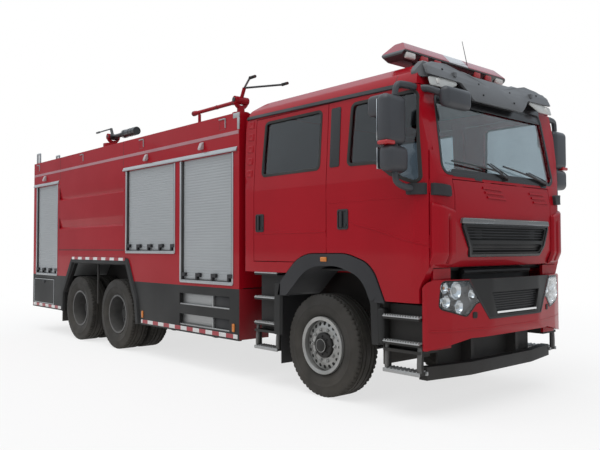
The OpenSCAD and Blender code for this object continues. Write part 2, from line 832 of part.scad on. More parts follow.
// Grille outline in Y and Z
grille_top = 1795;
grille_low = 1478;
grille_top_half = 806;
grille_low_half = 650;
grille_r = 45;
grille_proud = 10;
grille_deep = 24;
grille_in = 62;
// Grille openings: low and high edge as shares of the grille's height
grille_slot_shares = [[0.13, 0.37], [0.49, 0.88]];
function grille_half(z) = grille_low_half
    + (grille_top_half - grille_low_half) * (z - grille_low) / (grille_top - grille_low);
// Band of the grille's outline between two heights, drawn in by g at its ends
function grille_band(z0, z1, g, r) = rounded([[-grille_half(z0) + g, z0, r], [grille_half(z0) - g, z0, r],
    [grille_half(z1) - g, z1, r], [-grille_half(z1) + g, z1, r]]);
module grille_cut() {
    front_prism(grille_band(grille_low, grille_top, 0, grille_r), cab_nose_x - 2 * screen_top_in,
        cab_nose_x + 4 * grille_proud);
}

module front_flap() color(red) difference() {
    intersection() {
        nose_skin(0, flap_t);
        flap_cut(0);
    }
    grille_cut();
}

module grille() color(anthracite) difference() {
    intersection() {
        nose_skin(-grille_proud, flap_t);
        grille_cut();
    }
    intersection() {
        nose_skin(-2 * grille_proud, grille_deep);
        for (q = grille_slot_shares)
            front_prism(grille_band(grille_low + (grille_top - grille_low) * q[0],
                grille_low + (grille_top - grille_low) * q[1], grille_in, grille_in / 4),
                cab_nose_x - 3 * flap_t, cab_nose_x + 4 * grille_proud);
    }
}

floor_t = 40;
post_t = 55;
post_half = 75;
post_y = cab_half - cab_wall - door_gap;
leg_half = 45;
leg_front = 1020;
leg_back = 1120;

module cab_shell() color(red) {
    difference() {
        cab_skin(0, cab_wall);
        both() {
            door_cut(front_door_points(-door_gap));
            door_cut(rear_door_points(-door_gap));
        }
        screen_cut();
        intersection() {
            nose_skin(-over, flap_t + door_gap);
            flap_cut(door_gap);
        }
        box(cab_back_x - over, cab_nose_x + over, -cab_half - over, cab_half + over, 0, cab_base_z);
        box(front_x + door_toe + door_gap, cab_nose_x + over, -cab_half - over, cab_half + over, 0, chin_z);
        side_prism(arch_points(door_gap, 0), -cab_half - over, cab_half + over);
    }
    difference() {
        box(cab_back_x + cab_wall - over, corner_x, -cab_half + cab_wall + door_gap,
            cab_half - cab_wall - door_gap, cab_base_z, cab_base_z + floor_t);
        both() side_prism(arch_points(door_gap, 0), -cab_half - over, -liner_in + door_gap);
    }
    both() {
        difference() {
            front_prism([[-post_y, cab_base_z + floor_t], [-post_y + post_t, cab_base_z + floor_t],
                [-post_y + post_t, screen_low_z], [-post_y + post_t + tumble, gutter_z + post_t],
                [-cab_half + tumble + cab_wall / 2, gutter_z + post_t / 2],
                [-cab_half + tumble + cab_wall / 2, door_top + 2 * door_gap],
                [-post_y + tumble, door_top + 2 * door_gap], [-post_y, screen_low_z]],
                front_x + split_x - post_half, front_x + split_x + post_half);
            side_prism(arch_points(door_gap, 0), -cab_half, 0);
        }
        hinge_pins();
        for (y = flap_pin_ys) {
            translate([flap_pin_x, y, flap_pin_z]) rotate([90, 0, 0]) cylinder(r = hinge_r, h = hinge_l, center = true);
            box(flap_pin_x - hinge_r * 2, flap_pin_x, y - hinge_l / 2, y + hinge_l / 2, flap_pin_z,
                flap_top + 2 * door_gap);
        }
        for (x = [front_x + leg_front, front_x - leg_back])
            box(x - leg_half, x + leg_half, -rail_y, -rail_y + 2 * leg_half, frame_top, cab_base_z);
    }
}

// Bumper outlines, drawn in by i
bumper_top = 1270;
bumper_low = 635;
bumper_rise = 90;
bumper_rise_y = 700;
bumper_crease = 800;
bumper_t = 45;
bumper_half = 1200;
bumper_side_back = 1345;
bumper_corner = 1480;
bumper_corner_y = 940;
bumper_nose_y = 420;
bumper_tuck = 60;
bumper_shoulder = 75;
function bumper_plan(i) = rounded([
    [front_x + bumper_side_back, -bumper_half + i, 0],
    [front_x + bumper_side_back + bumper_t - i, -bumper_half + i, 30],
    [front_x + bumper_corner - i, -bumper_corner_y, 200],
    [front_x + front_overhang - i, -bumper_nose_y, 400],
    [front_x + front_overhang - i, bumper_nose_y, 400],
    [front_x + bumper_corner - i, bumper_corner_y, 200],
    [front_x + bumper_side_back + bumper_t - i, bumper_half - i, 30],
    [front_x + bumper_side_back, bumper_half - i, 0]]);

module bumper_solid(i) {
    difference() {
        plan_prism(bumper_plan(i), bumper_low, bumper_top);
        side_prism([[front_x + front_overhang - bumper_tuck, bumper_low - over],
            [front_x + front_overhang + over, bumper_low - over],
            [front_x + front_overhang + over, bumper_crease]], -bumper_half, bumper_half);
        front_prism([[-bumper_half, bumper_low - over], [-bumper_half, bumper_low],
            [-bumper_rise_y, bumper_low + bumper_rise], [bumper_rise_y, bumper_low + bumper_rise],
            [bumper_half, bumper_low], [bumper_half, bumper_low - over]],
            front_x + bumper_side_back - over, front_x + front_overhang + over);
        side_prism([[front_x + bumper_side_back - over, bumper_top - bumper_shoulder],
            [front_x + bumper_side_back + bumper_shoulder, bumper_top + over],
            [front_x + bumper_side_back - over, bumper_top + over]], -bumper_half - over, bumper_half + over);
    }
}

module bumper_skin() {
    difference() {
        bumper_solid(0);
        translate([-bumper_t, 0, 0]) plan_prism(bumper_plan(0), bumper_low - over, bumper_top + over);
    }
}

centre_top_half = 725;
centre_low_half = 460;
centre_low = 895;
lamp_top = 1258;
lamp_mid = 1055;
lamp_low = 925;
lamp_out = 1075;
lamp_heel = 85;
lamp_tip = 760;
lamp_gap = 14;
function centre_y(z) = centre_low_half
    + (centre_top_half - centre_low_half) * (z - centre_low) / (bumper_top - centre_low);
// Bumper's middle panel and the headlamp, as outlines in Y and Z
function centre_points() = [[-centre_low_half, centre_low], [centre_low_half, centre_low],
    [centre_top_half, bumper_top + over], [-centre_top_half, bumper_top + over]];
function lamp_points() = rounded([[-lamp_out, lamp_low + lamp_heel, 50], [-lamp_tip, lamp_low, 50],
    [-centre_y(lamp_mid) - 5 * lamp_gap, lamp_mid - lamp_gap, 40], [-centre_y(lamp_mid) - lamp_gap, lamp_mid, 10],
    [-centre_y(lamp_top) - lamp_gap, lamp_top, 30], [-lamp_out + 2 * lamp_gap, lamp_top, 50]]);

module centre_cut() {
    front_prism(centre_points(), front_x + bumper_side_back, front_x + front_overhang + over);
}
module lamp_cut() {
    front_prism(lamp_points(), front_x + bumper_side_back, front_x + front_overhang + over);
}

bumper_arm_w = 60;
bumper_arm_z0 = 800;
bumper_arm_z1 = 880;
riser_out = 1100;
riser_in = 840;
riser_back = 1395;
riser_t = 30;

module bumper() color(red) {
    difference() {
        bumper_skin();
        centre_cut();
        both() lamp_cut();
    }
    both() intersection() {
        box(front_x + riser_back - riser_t, front_x + riser_back, -riser_out, -riser_in, bumper_low, chin_z - door_gap);
        union() {
            translate([-bumper_t, 0, 0]) plan_prism(bumper_plan(0), 0, bumper_top);
            box(front_x, front_x + front_overhang, -bumper_half, bumper_half, bumper_top, chin_z);
        }
    }
    both() difference() {
        box(front_x + rail_nose, front_x + front_overhang, -rail_y, -rail_y + bumper_arm_w, bumper_arm_z0,
            bumper_arm_z1);
        translate([-bumper_t / 2, 0, 0]) difference() {
            box(front_x + bumper_side_back, front_x + 2 * front_overhang, -bumper_half, bumper_half, 0, bumper_top);
            plan_prism(bumper_plan(0), 0, bumper_top);
        }
    }
}

intake_low = 925;
intake_top = 1140;
intake_half = 430;
intake_low_half = 350;
intake_deep = 36;
module bumper_centre() color(anthracite) difference() {
    intersection() {
        bumper_skin();
        centre_cut();
    }
    difference() {
        front_prism([[-intake_low_half, intake_low], [intake_low_half, intake_low], [intake_half, intake_top],
            [-intake_half, intake_top]], front_x + bumper_side_back, front_x + front_overhang + over);
        translate([-intake_deep, 0, 0]) plan_prism(bumper_plan(0), bumper_low, bumper_top);
    }
}

tail_lamp_y = 960;
tail_lamp_w = 200;
tail_lamp_z = rear_under_low + rear_under_h;
tail_lamp_h = 130;
tail_lamp_t = 40;
module lamps() color(lamp_clear) both() {
    intersection() {
        bumper_skin();
        lamp_cut();
    }
    box(body_tail_x, body_tail_x + tail_lamp_t, -tail_lamp_y - tail_lamp_w / 2, -tail_lamp_y + tail_lamp_w / 2,
        tail_lamp_z, tail_lamp_z + tail_lamp_h);
}

visor_low = 3035;
visor_fwd = 1375;
visor_half = 1150;
visor_t = 30;
visor_end = 1190;
visor_top = 3325;
visor_bow = 60;
visor_lean = 25;
visor_lip = 100;
visor_drop = 60;
visor_back = 95;
visor_round = 100;
visor_corner_r = 260;
visor_arm_w = 40;
visor_arm_z = 3200;
visor_arm_ys = [-700, 700];
// Front outline of the visor's right half: y, height and corner radius; the ends rise over the corner lamps
visor_rows = [[200, 3050, 400], [600, 3160, 300], [850, 3180, 150], [1110, 3150, 30], [1150, 3200, 40],
    [1090, 3312, 60], [500, 3322, 150], [300, 3262, 150]];

// Outside of the visor, grown by d
module visor_solid(d) {
    front = front_x + visor_fwd + d;
    intersection() {
        side_prism(rounded([[front_x + visor_end - d, visor_low - over, 0], [front, visor_low - over, 0],
            [front - visor_lean, visor_low + visor_lip, visor_round],
            [front - visor_back, visor_top - visor_drop + d, visor_round],
            [front_x + visor_end - d, visor_top + d, 0]]), -visor_half - d, visor_half + d);
        plan_prism(rounded([[front_x, -visor_half - d, 0], [front - visor_bow, -visor_half - d, visor_corner_r],
            [front, -bow_half, bow_r], [front, bow_half, bow_r], [front - visor_bow, visor_half + d, visor_corner_r],
            [front_x, visor_half + d, 0]]), visor_low, roof_z);
    }
}

module sun_visor() color(anthracite) difference() {
    union() {
        intersection() {
            difference() {
                visor_solid(visor_t);
                visor_solid(0);
                box(front_x, front_x + visor_end, -cab_w, cab_w, 0, 2 * roof_z);
            }
            front_prism(rounded(concat(visor_rows, [for (k = [len(visor_rows) - 1 : -1 : 0])
                [-visor_rows[k][0], visor_rows[k][1], visor_rows[k][2]]])), front_x, front_x + 2 * visor_fwd);
        }
        for (y = visor_arm_ys)
            box(front_x + visor_end, front_x + visor_fwd, y - visor_arm_w / 2, y + visor_arm_w / 2,
                visor_arm_z, visor_arm_z + visor_arm_w);
    }
    cab_solid(0);
}

bar_fwd = 620;
bar_l = 310;
bar_low = 3440;
bar_top = 3640;
bar_half = 930;
bar_end = 60;
bar_belly = 90;
bar_foot = 90;
bar_foot_y = 480;
bar_edge_r = 20;
bar_ridge_r = 50;
module light_bar() color(red) difference() {
    x0 = front_x + bar_fwd;
    union() {
        intersection() {
            side_prism(rounded([[x0 + bar_end, bar_low, bar_edge_r], [x0 + bar_l - bar_end, bar_low, bar_edge_r],
                [x0 + bar_l, bar_low + bar_belly, bar_edge_r], [x0 + bar_l * 2 / 3, bar_top, bar_ridge_r],
                [x0 + bar_l / 3, bar_top, bar_ridge_r], [x0, bar_low + bar_belly, bar_edge_r]]), -bar_half, bar_half);
            front_prism(rounded([[-bar_half + bar_end, bar_low, bar_edge_r], [bar_half - bar_end, bar_low, bar_edge_r],
                [bar_half, bar_low + bar_end, bar_edge_r], [bar_half - 2 * bar_end, bar_top, bar_edge_r],
                [-bar_half + 2 * bar_end, bar_top, bar_edge_r], [-bar_half, bar_low + bar_end, bar_edge_r]]),
                front_x, front_x + cab_nose);
        }
        both() box(x0 + bar_foot, x0 + bar_l - bar_foot, -bar_foot_y - bar_foot / 2, -bar_foot_y + bar_foot / 2,
            roof_z - bar_foot, bar_low + over);
    }
    cab_solid(0);
}

// Mirror heads on the right door, with arms seated on the door
mirror_x = 1190;
mirror_y = 1500;
mirror_w = 230;
mirror_t = 110;
mirror_low = 2490;
mirror_top = 2915;
wide_low = 2240;
wide_top = 2478;
mirror_r = 40;
mirror_arm_r = 24;
kerb_l = 190;
kerb_w = 110;
kerb_low = 2755;
kerb_top = 2945;
elbow_share = 1.15;
arm_top_z = 3038;
arm_low_z = 2100;
module mirror_set() difference() {
    x0 = front_x + mirror_x;
    pole = [x0 + mirror_t / 2, -mirror_y + mirror_w / 4];
    union() {
        for (q = [[mirror_low, mirror_top], [wide_low, wide_top]])
            translate([0, 0, q[0]]) linear_extrude(q[1] - q[0])
                polygon(rounded(frame_rows(x0, x0 + mirror_t, -mirror_y - mirror_w / 2, -mirror_y + mirror_w / 2,
                    mirror_r)));
        translate([0, 0, kerb_low]) linear_extrude(kerb_top - kerb_low)
            polygon(rounded(frame_rows(x0 - kerb_l, x0 + mirror_t / 2, -mirror_y - kerb_w / 2,
                -mirror_y + kerb_w / 2, mirror_r)));
        bar([pole[0], pole[1], arm_low_z], [pole[0], pole[1], arm_top_z], mirror_arm_r);
        for (z = [arm_low_z, arm_top_z]) {
            translate([pole[0], pole[1], z]) sphere(r = mirror_arm_r * elbow_share);
            translate([pole[0], 0, z]) rotate([90, 0, 0]) cylinder(r = mirror_arm_r, h = -pole[1]);
        }
    }
    cab_solid(0);
    box(front_x - cab_back, front_x + cab_nose, -cab_half + tumble + cab_wall, 0, 0, roof_z);
}
module mirror_right() color(black) mirror_set();
module mirror_left() color(black) mirror([0, 1, 0]) mirror_set();

ramp_y = 880;
ramp_w = 330;
ramp_low = 2850;
ramp_top = 3030;
ramp_fwd = 1545;
ramp_t = 90;
ramp_arm_y = 1025;
module front_mirror() color(black) difference() {
    union() {
        translate([0, 0, ramp_low]) linear_extrude(ramp_top - ramp_low)
            polygon(rounded(frame_rows(front_x + ramp_fwd - ramp_t, front_x + ramp_fwd, -ramp_y - ramp_w / 2,
                -ramp_y + ramp_w / 2, mirror_r)));
        bar([front_x + ramp_fwd - ramp_t / 2, -ramp_arm_y, ramp_top - mirror_r],
            [front_x + front_door_front - 2 * ramp_t, -ramp_arm_y, ramp_top - mirror_r], mirror_arm_r);
    }
    cab_solid(0);
}

// Wiper pivots and blade ends in Y and Z
wiper_rows = [[-60, -620, 0.13], [640, 80, 0.11]];
wiper_r = 12;
wiper_lift = 30;
wiper_boss_r = 30;
function screen_x(z) = cab_nose_x - screen_low_in
    - (screen_top_in - screen_low_in) * (z - screen_low_z) / (screen_top_z - screen_low_z);
module wipers() color(black) difference() {
    for (q = wiper_rows) {
        z1 = screen_low_z + (screen_top_z - screen_low_z) * q[2];
        bar([cab_nose_x - 2 * screen_low_in, q[0], screen_low_z + screen_gap / 2],
            [screen_x(screen_low_z) + wiper_lift, q[0], screen_low_z + screen_gap / 2], wiper_boss_r);
        bar([screen_x(screen_low_z) + wiper_lift, q[0], screen_low_z + screen_gap / 2],
            [screen_x(z1) + wiper_lift, q[1], z1], wiper_r);
    }
    cab_solid(0);
    screen_cut();
}

// Steps: treads of each flight, as x range from the front axle and heights
step_in = 955;
step_t = 14;
tread_in = 105;
tread_t = 26;
step_out = body_half - 15;
front_step = [905, 1330];
crew_step = [-1075, -668];
front_treads = [925, 690];
crew_treads = [1280, 995, 705];
front_step_top = 1035;
crew_step_top = 1282;
step_low = 600;
hang_z = 405;
hang_t = 30;
hang_w = 130;
strap_t = 16;
step_arm_z0 = 820;
step_arm_z1 = 890;
step_arm_w = 60;

module flight(range, treads, top) {
    x0 = front_x + range[0];
    x1 = front_x + range[1];
    box(x0, x1, -step_out + tread_in, -step_in, step_low, top);
    for (z = treads)
        box(x0, x1, -step_out, -step_out + tread_in + over, z - tread_t, z);
    box(x0, x1, -step_out, -step_out + tread_in + over, step_low, step_low + tread_t);
    box(x0 + step_t, x1 - step_t, -step_out, -step_out + hang_w, hang_z, hang_z + hang_t);
    for (x = [x0 + step_t, x1 - step_t - strap_t])
        box(x, x + strap_t, -step_out + hang_w / 3, -step_out + hang_w * 2 / 3, hang_z, step_low + tread_t);
    box((x0 + x1) / 2 - step_arm_w, (x0 + x1) / 2, -step_in - over, -rail_y, step_arm_z0, step_arm_z1);
}
module cab_steps() color(black) both() {
    flight(front_step, front_treads, front_step_top);
    flight(crew_step, crew_treads, crew_step_top);
}

// Cab interior: seats as x from the front axle, y middle and width
seat_rows = [[420, -620, 540], [420, 620, 540], [-1020, 0, 2000]];
cushion_z = 1720;
cushion_l = 480;
cushion_h = 130;
pedestal_in = 20;
rest_t = 130;
rest_top = 2480;
rest_lean = 12;
dash_fwd = 1330;
dash_l = 260;
dash_low = cab_base_z + floor_t;
dash_top = 2130;
dash_half = 1080;
wheel_ring_r = 225;
wheel_tube_r = 16;
wheel_fwd = 900;
wheel_y = 620;
wheel_ring_z = 2080;
column_tilt = 30;
module cab_interior() color(black) {
    for (q = seat_rows) {
        x = front_x + q[0];
        y0 = max(q[1] - q[2] / 2, -liner_in + pedestal_in);
        y1 = min(q[1] + q[2] / 2, liner_in - pedestal_in);
        box(x, x + cushion_l, q[1] - q[2] / 2, q[1] + q[2] / 2, cushion_z - cushion_h, cushion_z);
        box(x, x + cushion_l, y0, y1, cab_base_z + floor_t, cushion_z - cushion_h + over);
        translate([x, q[1] - q[2] / 2, cushion_z - cushion_h]) rotate([0, -rest_lean, 0])
            cube([rest_t, q[2], rest_top - cushion_z]);
    }
    intersection() {
        box(front_x + dash_fwd - dash_l, front_x + dash_fwd, -dash_half, dash_half, dash_low, dash_top);
        cab_solid(cab_wall + door_gap);
    }
    translate([front_x + wheel_fwd, wheel_y, wheel_ring_z]) rotate([0, -column_tilt, 0]) {
        rotate_extrude() translate([wheel_ring_r, 0]) circle(r = wheel_tube_r);
        for (i = [0 : 2]) rotate(i * 120) rotate([0, 90, 0]) cylinder(r = wheel_tube_r, h = wheel_ring_r);
        translate([0, 0, -dash_l * 2]) cylinder(r = 2 * wheel_tube_r, h = dash_l * 2);
    }
}

// Fire body: shutters, as front edge behind the front axle, rear edge, sill height and number of latches
shutter_rows = [[1490, 2690, 1120, 4], [2840, 4260, 1500, 5]];
shutter_post = 75;
rear_shutter_back = body_tail - 170;
rear_shutter_low = skirt_top + 5;
tail_shutter_half = 720;
tail_shutter_low = 1130;
rear_latches = 4;
tail_latches = 5;
bulk_front = wheelbase - 240;
bulk_rear = wheelbase + bogie_spread + 860;
bulk_t = 50;

// Rear wheel arch outline, x from the middle of the bogie, grown by g
arch_top = 1405;
arch_back = 1390;
arch_front = 1490;
arch_bend_z = 780;
function rear_arch_points(g, low) = [for (q = [
    [-arch_back - g, low], [-arch_back + arch_back * arch_shares[0] - g, arch_bend_z],
    [-arch_back * arch_shares[1] - g, arch_top + g], [arch_front * arch_shares[2] + g, arch_top + g],
    [arch_front * arch_shares[3] + g, arch_bend_z], [arch_front + g, low]]) [bogie_x + q[0], q[1]]];
arch_shares = [0.015, 0.683, 0.752, 0.96];
rear_flare = 100;

// Openings of the shutters on a side: x from behind to the front, sill height and number of latches
function side_openings() = concat(
    [for (q = shutter_rows) [front_x - q[1], front_x - q[0], q[2], q[3]]],
    [[rear_x - rear_shutter_back, front_x - bulk_rear - shutter_post, rear_shutter_low, rear_latches]]);

// Pressed steps of the tank's side: upper edge and lower edge heights
swages = [[2670, 2430], [2120, 1910]];
swage_depth = 28;
module body_side() difference() {
    box(body_tail_x, body_front_x, -body_half, -body_half + body_wall, skirt_top, body_top);
    for (q = side_openings())
        box(q[0], q[1], -body_half - over, -body_half + body_wall + over, q[2], shutter_top);
    side_prism(rear_arch_points(0, 0), -body_half - over, -body_half + body_wall + over);
    for (q = swages)
        front_prism([[-body_half - over, q[0]], [-body_half, q[0]], [-body_half + swage_depth, q[1] + swage_depth],
            [-body_half, q[1]], [-body_half - over, q[1]]], front_x - bulk_rear, front_x - bulk_front);
}
module body_sides() color(red) both() body_side();

module body_ends() color(red) {
    in_y = body_half - body_wall;
    box(body_front_x - body_wall, body_front_x, -in_y, in_y, frame_top, body_top);
    difference() {
        box(body_tail_x, body_tail_x + body_wall, -in_y, in_y, frame_top, body_top);
        box(body_tail_x - over, body_tail_x + body_wall + over, -tail_shutter_half, tail_shutter_half,
            tail_shutter_low, shutter_top);
    }
}

floor_plate = 40;
deck_t = 30;
arch_in = 490;
module body_frame() color(alloy) {
    in_y = body_half - body_wall;
    x0 = body_tail_x + body_wall;
    x1 = body_front_x - body_wall;
    difference() {
        union() {
            box(x0, x1, -in_y, in_y, frame_top, frame_top + floor_plate);
            box(x0, x1, -in_y, in_y, deck_z - deck_t, deck_z);
            for (back = [bulk_front, bulk_rear])
                box(front_x - back - bulk_t / 2, front_x - back + bulk_t / 2, -in_y, in_y, frame_top, deck_z);
            both() box(bogie_x - arch_back, bogie_x + arch_front, -in_y, -arch_in, frame_top, arch_top);
        }
        both() side_prism(rear_arch_points(-rear_flare, 0), -body_half - over, -arch_in - bulk_t);
    }
}

// Skirt openings: low and high edge heights
skirt_slots = [[540, 690], [810, 965]];
slot_front = 1560;
slot_back = 2710;
locker_front = 1060;
locker_back = 2060;
locker_low = 520;
locker_top = 1005;
locker_pin_xs = [rear_x - locker_back + hinge_l, rear_x - locker_front - 2 * hinge_l];
module skirt() {
    difference() {
        box(body_tail_x, body_front_x, -body_half, -body_half + skirt_t, skirt_low, skirt_top);
        side_prism(rear_arch_points(0, 0), -body_half - over, -body_half + skirt_t + over);
        for (q = skirt_slots)
            box(front_x - slot_back, front_x - slot_front, -body_half - over, -body_half + skirt_t + over, q[0], q[1]);
        box(rear_x - locker_back, rear_x - locker_front, -body_half - over, -body_half + skirt_t + over,
            locker_low, locker_top);
    }
    for (x = locker_pin_xs) {
        translate([x, -body_half + hinge_r, locker_low + door_gap / 2]) rotate([0, 90, 0])
            cylinder(r = hinge_r, h = hinge_l);
        box(x, x + hinge_l, -body_half + hinge_r / 2, -body_half + 2 * hinge_r, locker_low - over,
            locker_low + door_gap / 2);
    }
    difference() {
        side_prism(rear_arch_points(0, skirt_low), -body_half, -body_half + body_wall);
        side_prism(rear_arch_points(-rear_flare, 0), -body_half - over, -body_half + body_wall + over);
    }
}
module body_skirts() color(anthracite) both() skirt();

module locker() {
    box(rear_x - locker_back + door_gap, rear_x - locker_front - door_gap, -body_half, -body_half + skirt_t,
        locker_low + door_gap, locker_top - door_gap);
}
module locker_right() color(anthracite) locker();
module locker_left() color(anthracite) mirror([0, 1, 0]) locker();

curtain_depth = 22;
curtain_t = 14;
slat_groove = 4;
latch_w = 60;
latch_h = 62;
latch_t = 34;
latch_step_share = 0.36;

// Slatted curtain section: depth and height, from low to top
function slat_points(low, top) =
    let (n = floor((top - low) / slat_h))
    concat([[curtain_t, top], [curtain_t, low], [0, low]],
        [for (k = [1 : n - 1]) each [[0, low + k * slat_h - slat_groove], [slat_groove, low + k * slat_h],
            [0, low + k * slat_h + slat_groove]]], [[0, top]]);

// Hooked latch outline in X and Z, from its lower rear corner
function latch_points(x, z) = [for (q = [[0, 0], [latch_step_share, 0], [latch_step_share, latch_step_share],
    [1, latch_step_share], [1, 1], [0, 1]]) [x + q[0] * latch_w, z + q[1] * latch_h]];

// Shutter in its frame with n latches, x from 0 to w, outside at y 0, inside along +Y
module shutter(w, low, top, n) {
    difference() {
        box(0, w, 0, body_wall, low, top);
        box(shutter_frame, w - shutter_frame, -over, body_wall + over, low + shutter_frame, top - shutter_frame);
    }
    translate([shutter_frame - over / 2, curtain_depth, 0])
        rotate([90, 0, 90]) linear_extrude(w - 2 * shutter_frame + over)
            polygon(slat_points(low + shutter_frame - over / 2, top - shutter_frame + over / 2));
    for (i = [0 : n - 1])
        side_prism(latch_points(shutter_frame + over + (w - 2 * shutter_frame - 2 * over - latch_w) * i / (n - 1),
            low + shutter_frame), curtain_depth - latch_t, curtain_depth + over);
}

module shutters() color(alloy) {
    for (q = side_openings())
        both() translate([q[0], -body_half, 0]) shutter(q[1] - q[0], q[2], shutter_top, q[3]);
    translate([body_tail_x, tail_shutter_half, 0]) rotate(-90)
        shutter(2 * tail_shutter_half, tail_shutter_low, shutter_top, tail_latches);
}

ladder_y = 960;
ladder_half = 190;
ladder_r = 18;
ladder_low = 700;
ladder_rise = 210;
rungs = 8;
ladder_top = body_top + ladder_rise;
ladder_off = rear_overhang - body_tail - ladder_r;
module rear_ladder() color(alloy) {
    x = body_tail_x - ladder_off;
    for (y = [-ladder_y - ladder_half, -ladder_y + ladder_half]) {
        bar([x, y, ladder_low], [x, y, ladder_top], ladder_r);
        bar([x, y, ladder_top], [body_tail_x + body_wall / 2, y, ladder_top], ladder_r);
        bar([body_tail_x + body_wall / 2, y, ladder_top], [body_tail_x + body_wall / 2, y, body_top], ladder_r);
        translate([x, y, ladder_top]) sphere(r = ladder_r);
        translate([body_tail_x + body_wall / 2, y, ladder_top]) sphere(r = ladder_r);
        bar([x, y, skirt_top + ladder_r], [body_tail_x, y, skirt_top + ladder_r], ladder_r);
    }
    for (i = [0 : rungs - 1])
        bar([x, -ladder_y - ladder_half, ladder_low + ladder_half + i * (body_top - ladder_low) / rungs],
            [x, -ladder_y + ladder_half, ladder_low + ladder_half + i * (body_top - ladder_low) / rungs], ladder_r);
}

// Monitors
column_r = 85;
foot_r = 160;
foot_h = 30;
ring_r = 130;
ring_h = 60;
head_low = monitor_z - 250;
gun_head_low = gun_z - 200;
gun_ring_r = 190;
rest_back = 1140;
rest_r = 25;
barrel_r = 30;
tip_r = 38;
tip_l = 130;
gun_r = 42;
nozzle_r = 76;
nozzle_l = 560;
arm_r = 34;
neck_r = 58;
rest_gap = 6;
trunnion_r = 60;
trunnion_half = 120;
cheek_t = 30;
turn_gap = 0.5;

module pedestal(x, top, ring) {
    translate([x, 0, deck_z]) {
        cylinder(r = foot_r, h = foot_h);
        cylinder(r = column_r, h = top - deck_z);
    }
    translate([x, 0, top - ring_h]) cylinder(r = ring, h = ring_h);
}

module monitor_bases() color(red) {
    pedestal(front_x - monitor_back, head_low, ring_r);
    pedestal(rear_x - gun_back, gun_head_low, gun_ring_r);
    translate([front_x - monitor_back - rest_back, 0, deck_z])
        cylinder(r = rest_r, h = monitor_z - barrel_r - rest_gap - deck_z);
}

// Swivelling head: turntable, neck and a bowed pipe that carries the trunnion at both ends
module head(x, low, axis_z, ring) {
    bow = trunnion_half - cheek_t / 2;
    translate([x, 0, low + turn_gap]) cylinder(r = ring, h = ring_h);
    difference() {
        union() {
            translate([x, 0, low + ring_h]) cylinder(r = neck_r, h = axis_z - bow - low - ring_h);
            translate([x, 0, axis_z]) rotate([0, 90, 0]) rotate_extrude() translate([bow, 0]) circle(r = arm_r);
        }
        box(x - 2 * arm_r, x + 2 * arm_r, -2 * trunnion_half, 2 * trunnion_half, axis_z, axis_z + 2 * trunnion_half);
        head_clear(x, axis_z);
    }
    both() difference() {
        translate([x, -trunnion_half + cheek_t, axis_z]) rotate([90, 0, 0]) cylinder(r = trunnion_r, h = cheek_t);
        translate([x, 0, axis_z]) rotate([90, 0, 0])
            cylinder(r = trunnion_r / 2 + pin_gap, h = 2 * trunnion_half);
    }
}
// Room for the trunnion between the ends of the bowed pipe
module head_clear(x, axis_z) {
    translate([x, 0, axis_z]) rotate([90, 0, 0])
        cylinder(r = trunnion_r + arm_r / 4, h = 2 * (trunnion_half - cheek_t), center = true);
    translate([x, 0, axis_z]) rotate([90, 0, 0])
        cylinder(r = trunnion_r / 2 + pin_gap, h = 4 * trunnion_half, center = true);
}
module monitor_head() color(red) head(front_x - monitor_back, head_low, monitor_z, ring_r);
module gun_head() color(red) head(rear_x - gun_back, gun_head_low, gun_z, gun_ring_r);

handle_l = 620;
handle_post = 90;
handle_rise = 180;
handle_half = 300;
handle_r = 14;
grip_r = 20;
grip_l = 130;

// Barrel along -X from its trunnion at the origin: pipe radius, nozzle radius and length, sides of the grips
module barrel_parts(l, r, nozzle, nozzle_len, grips) {
    trunnion_in = trunnion_half - cheek_t - turn_gap;
    rotate([90, 0, 0]) cylinder(r = trunnion_r, h = 2 * trunnion_in, center = true);
    rotate([90, 0, 0]) cylinder(r = trunnion_r / 2, h = 2 * trunnion_half, center = true);
    rotate([0, -90, 0]) cylinder(r = r, h = l);
    translate([-l, 0, 0]) rotate([0, 90, 0]) cylinder(r = nozzle, h = nozzle_len - nozzle);
    translate([-l + nozzle_len - nozzle, 0, 0]) rotate([0, 90, 0]) cylinder(r1 = nozzle, r2 = r, h = nozzle);
    bar([0, 0, 0], [handle_post, 0, handle_rise], handle_r * 2);
    for (y = grips) {
        bar([handle_post, 0, handle_rise], [handle_l, y, handle_rise], handle_r);
        bar([handle_l, y, handle_rise], [handle_l + grip_l, y, handle_rise], grip_r);
    }
}
module monitor_barrel() color(red)
    translate([front_x - monitor_back, 0, monitor_z])
        barrel_parts(barrel_l, barrel_r, tip_r, tip_l, [-handle_half, handle_half]);
module gun_barrel() color(black)
    translate([rear_x - gun_back, 0, gun_z]) rotate(180)
        barrel_parts(gun_l, gun_r, nozzle_r, nozzle_l, [0]);

module rim_front_right() color(alloy) place_wheel(front_x, front_track, -1) front_rim();
module rim_front_left() color(alloy) place_wheel(front_x, front_track, 1) front_rim();
module rim_mid_right() color(steel) place_wheel(mid_x, rear_track, -1) twin_rim();
module rim_mid_left() color(steel) place_wheel(mid_x, rear_track, 1) twin_rim();
module rim_rear_right() color(steel) place_wheel(rear_x, rear_track, -1) twin_rim();
module rim_rear_left() color(steel) place_wheel(rear_x, rear_track, 1) twin_rim();
module tyre_front_right() color(black) place_wheel(front_x, front_track, -1) tyre();
module tyre_front_left() color(black) place_wheel(front_x, front_track, 1) tyre();
module tyre_mid_right() color(black) place_wheel(mid_x, rear_track, -1) twin_tyre();
module tyre_mid_left() color(black) place_wheel(mid_x, rear_track, 1) twin_tyre();
module tyre_rear_right() color(black) place_wheel(rear_x, rear_track, -1) twin_tyre();
module tyre_rear_left() color(black) place_wheel(rear_x, rear_track, 1) twin_tyre();

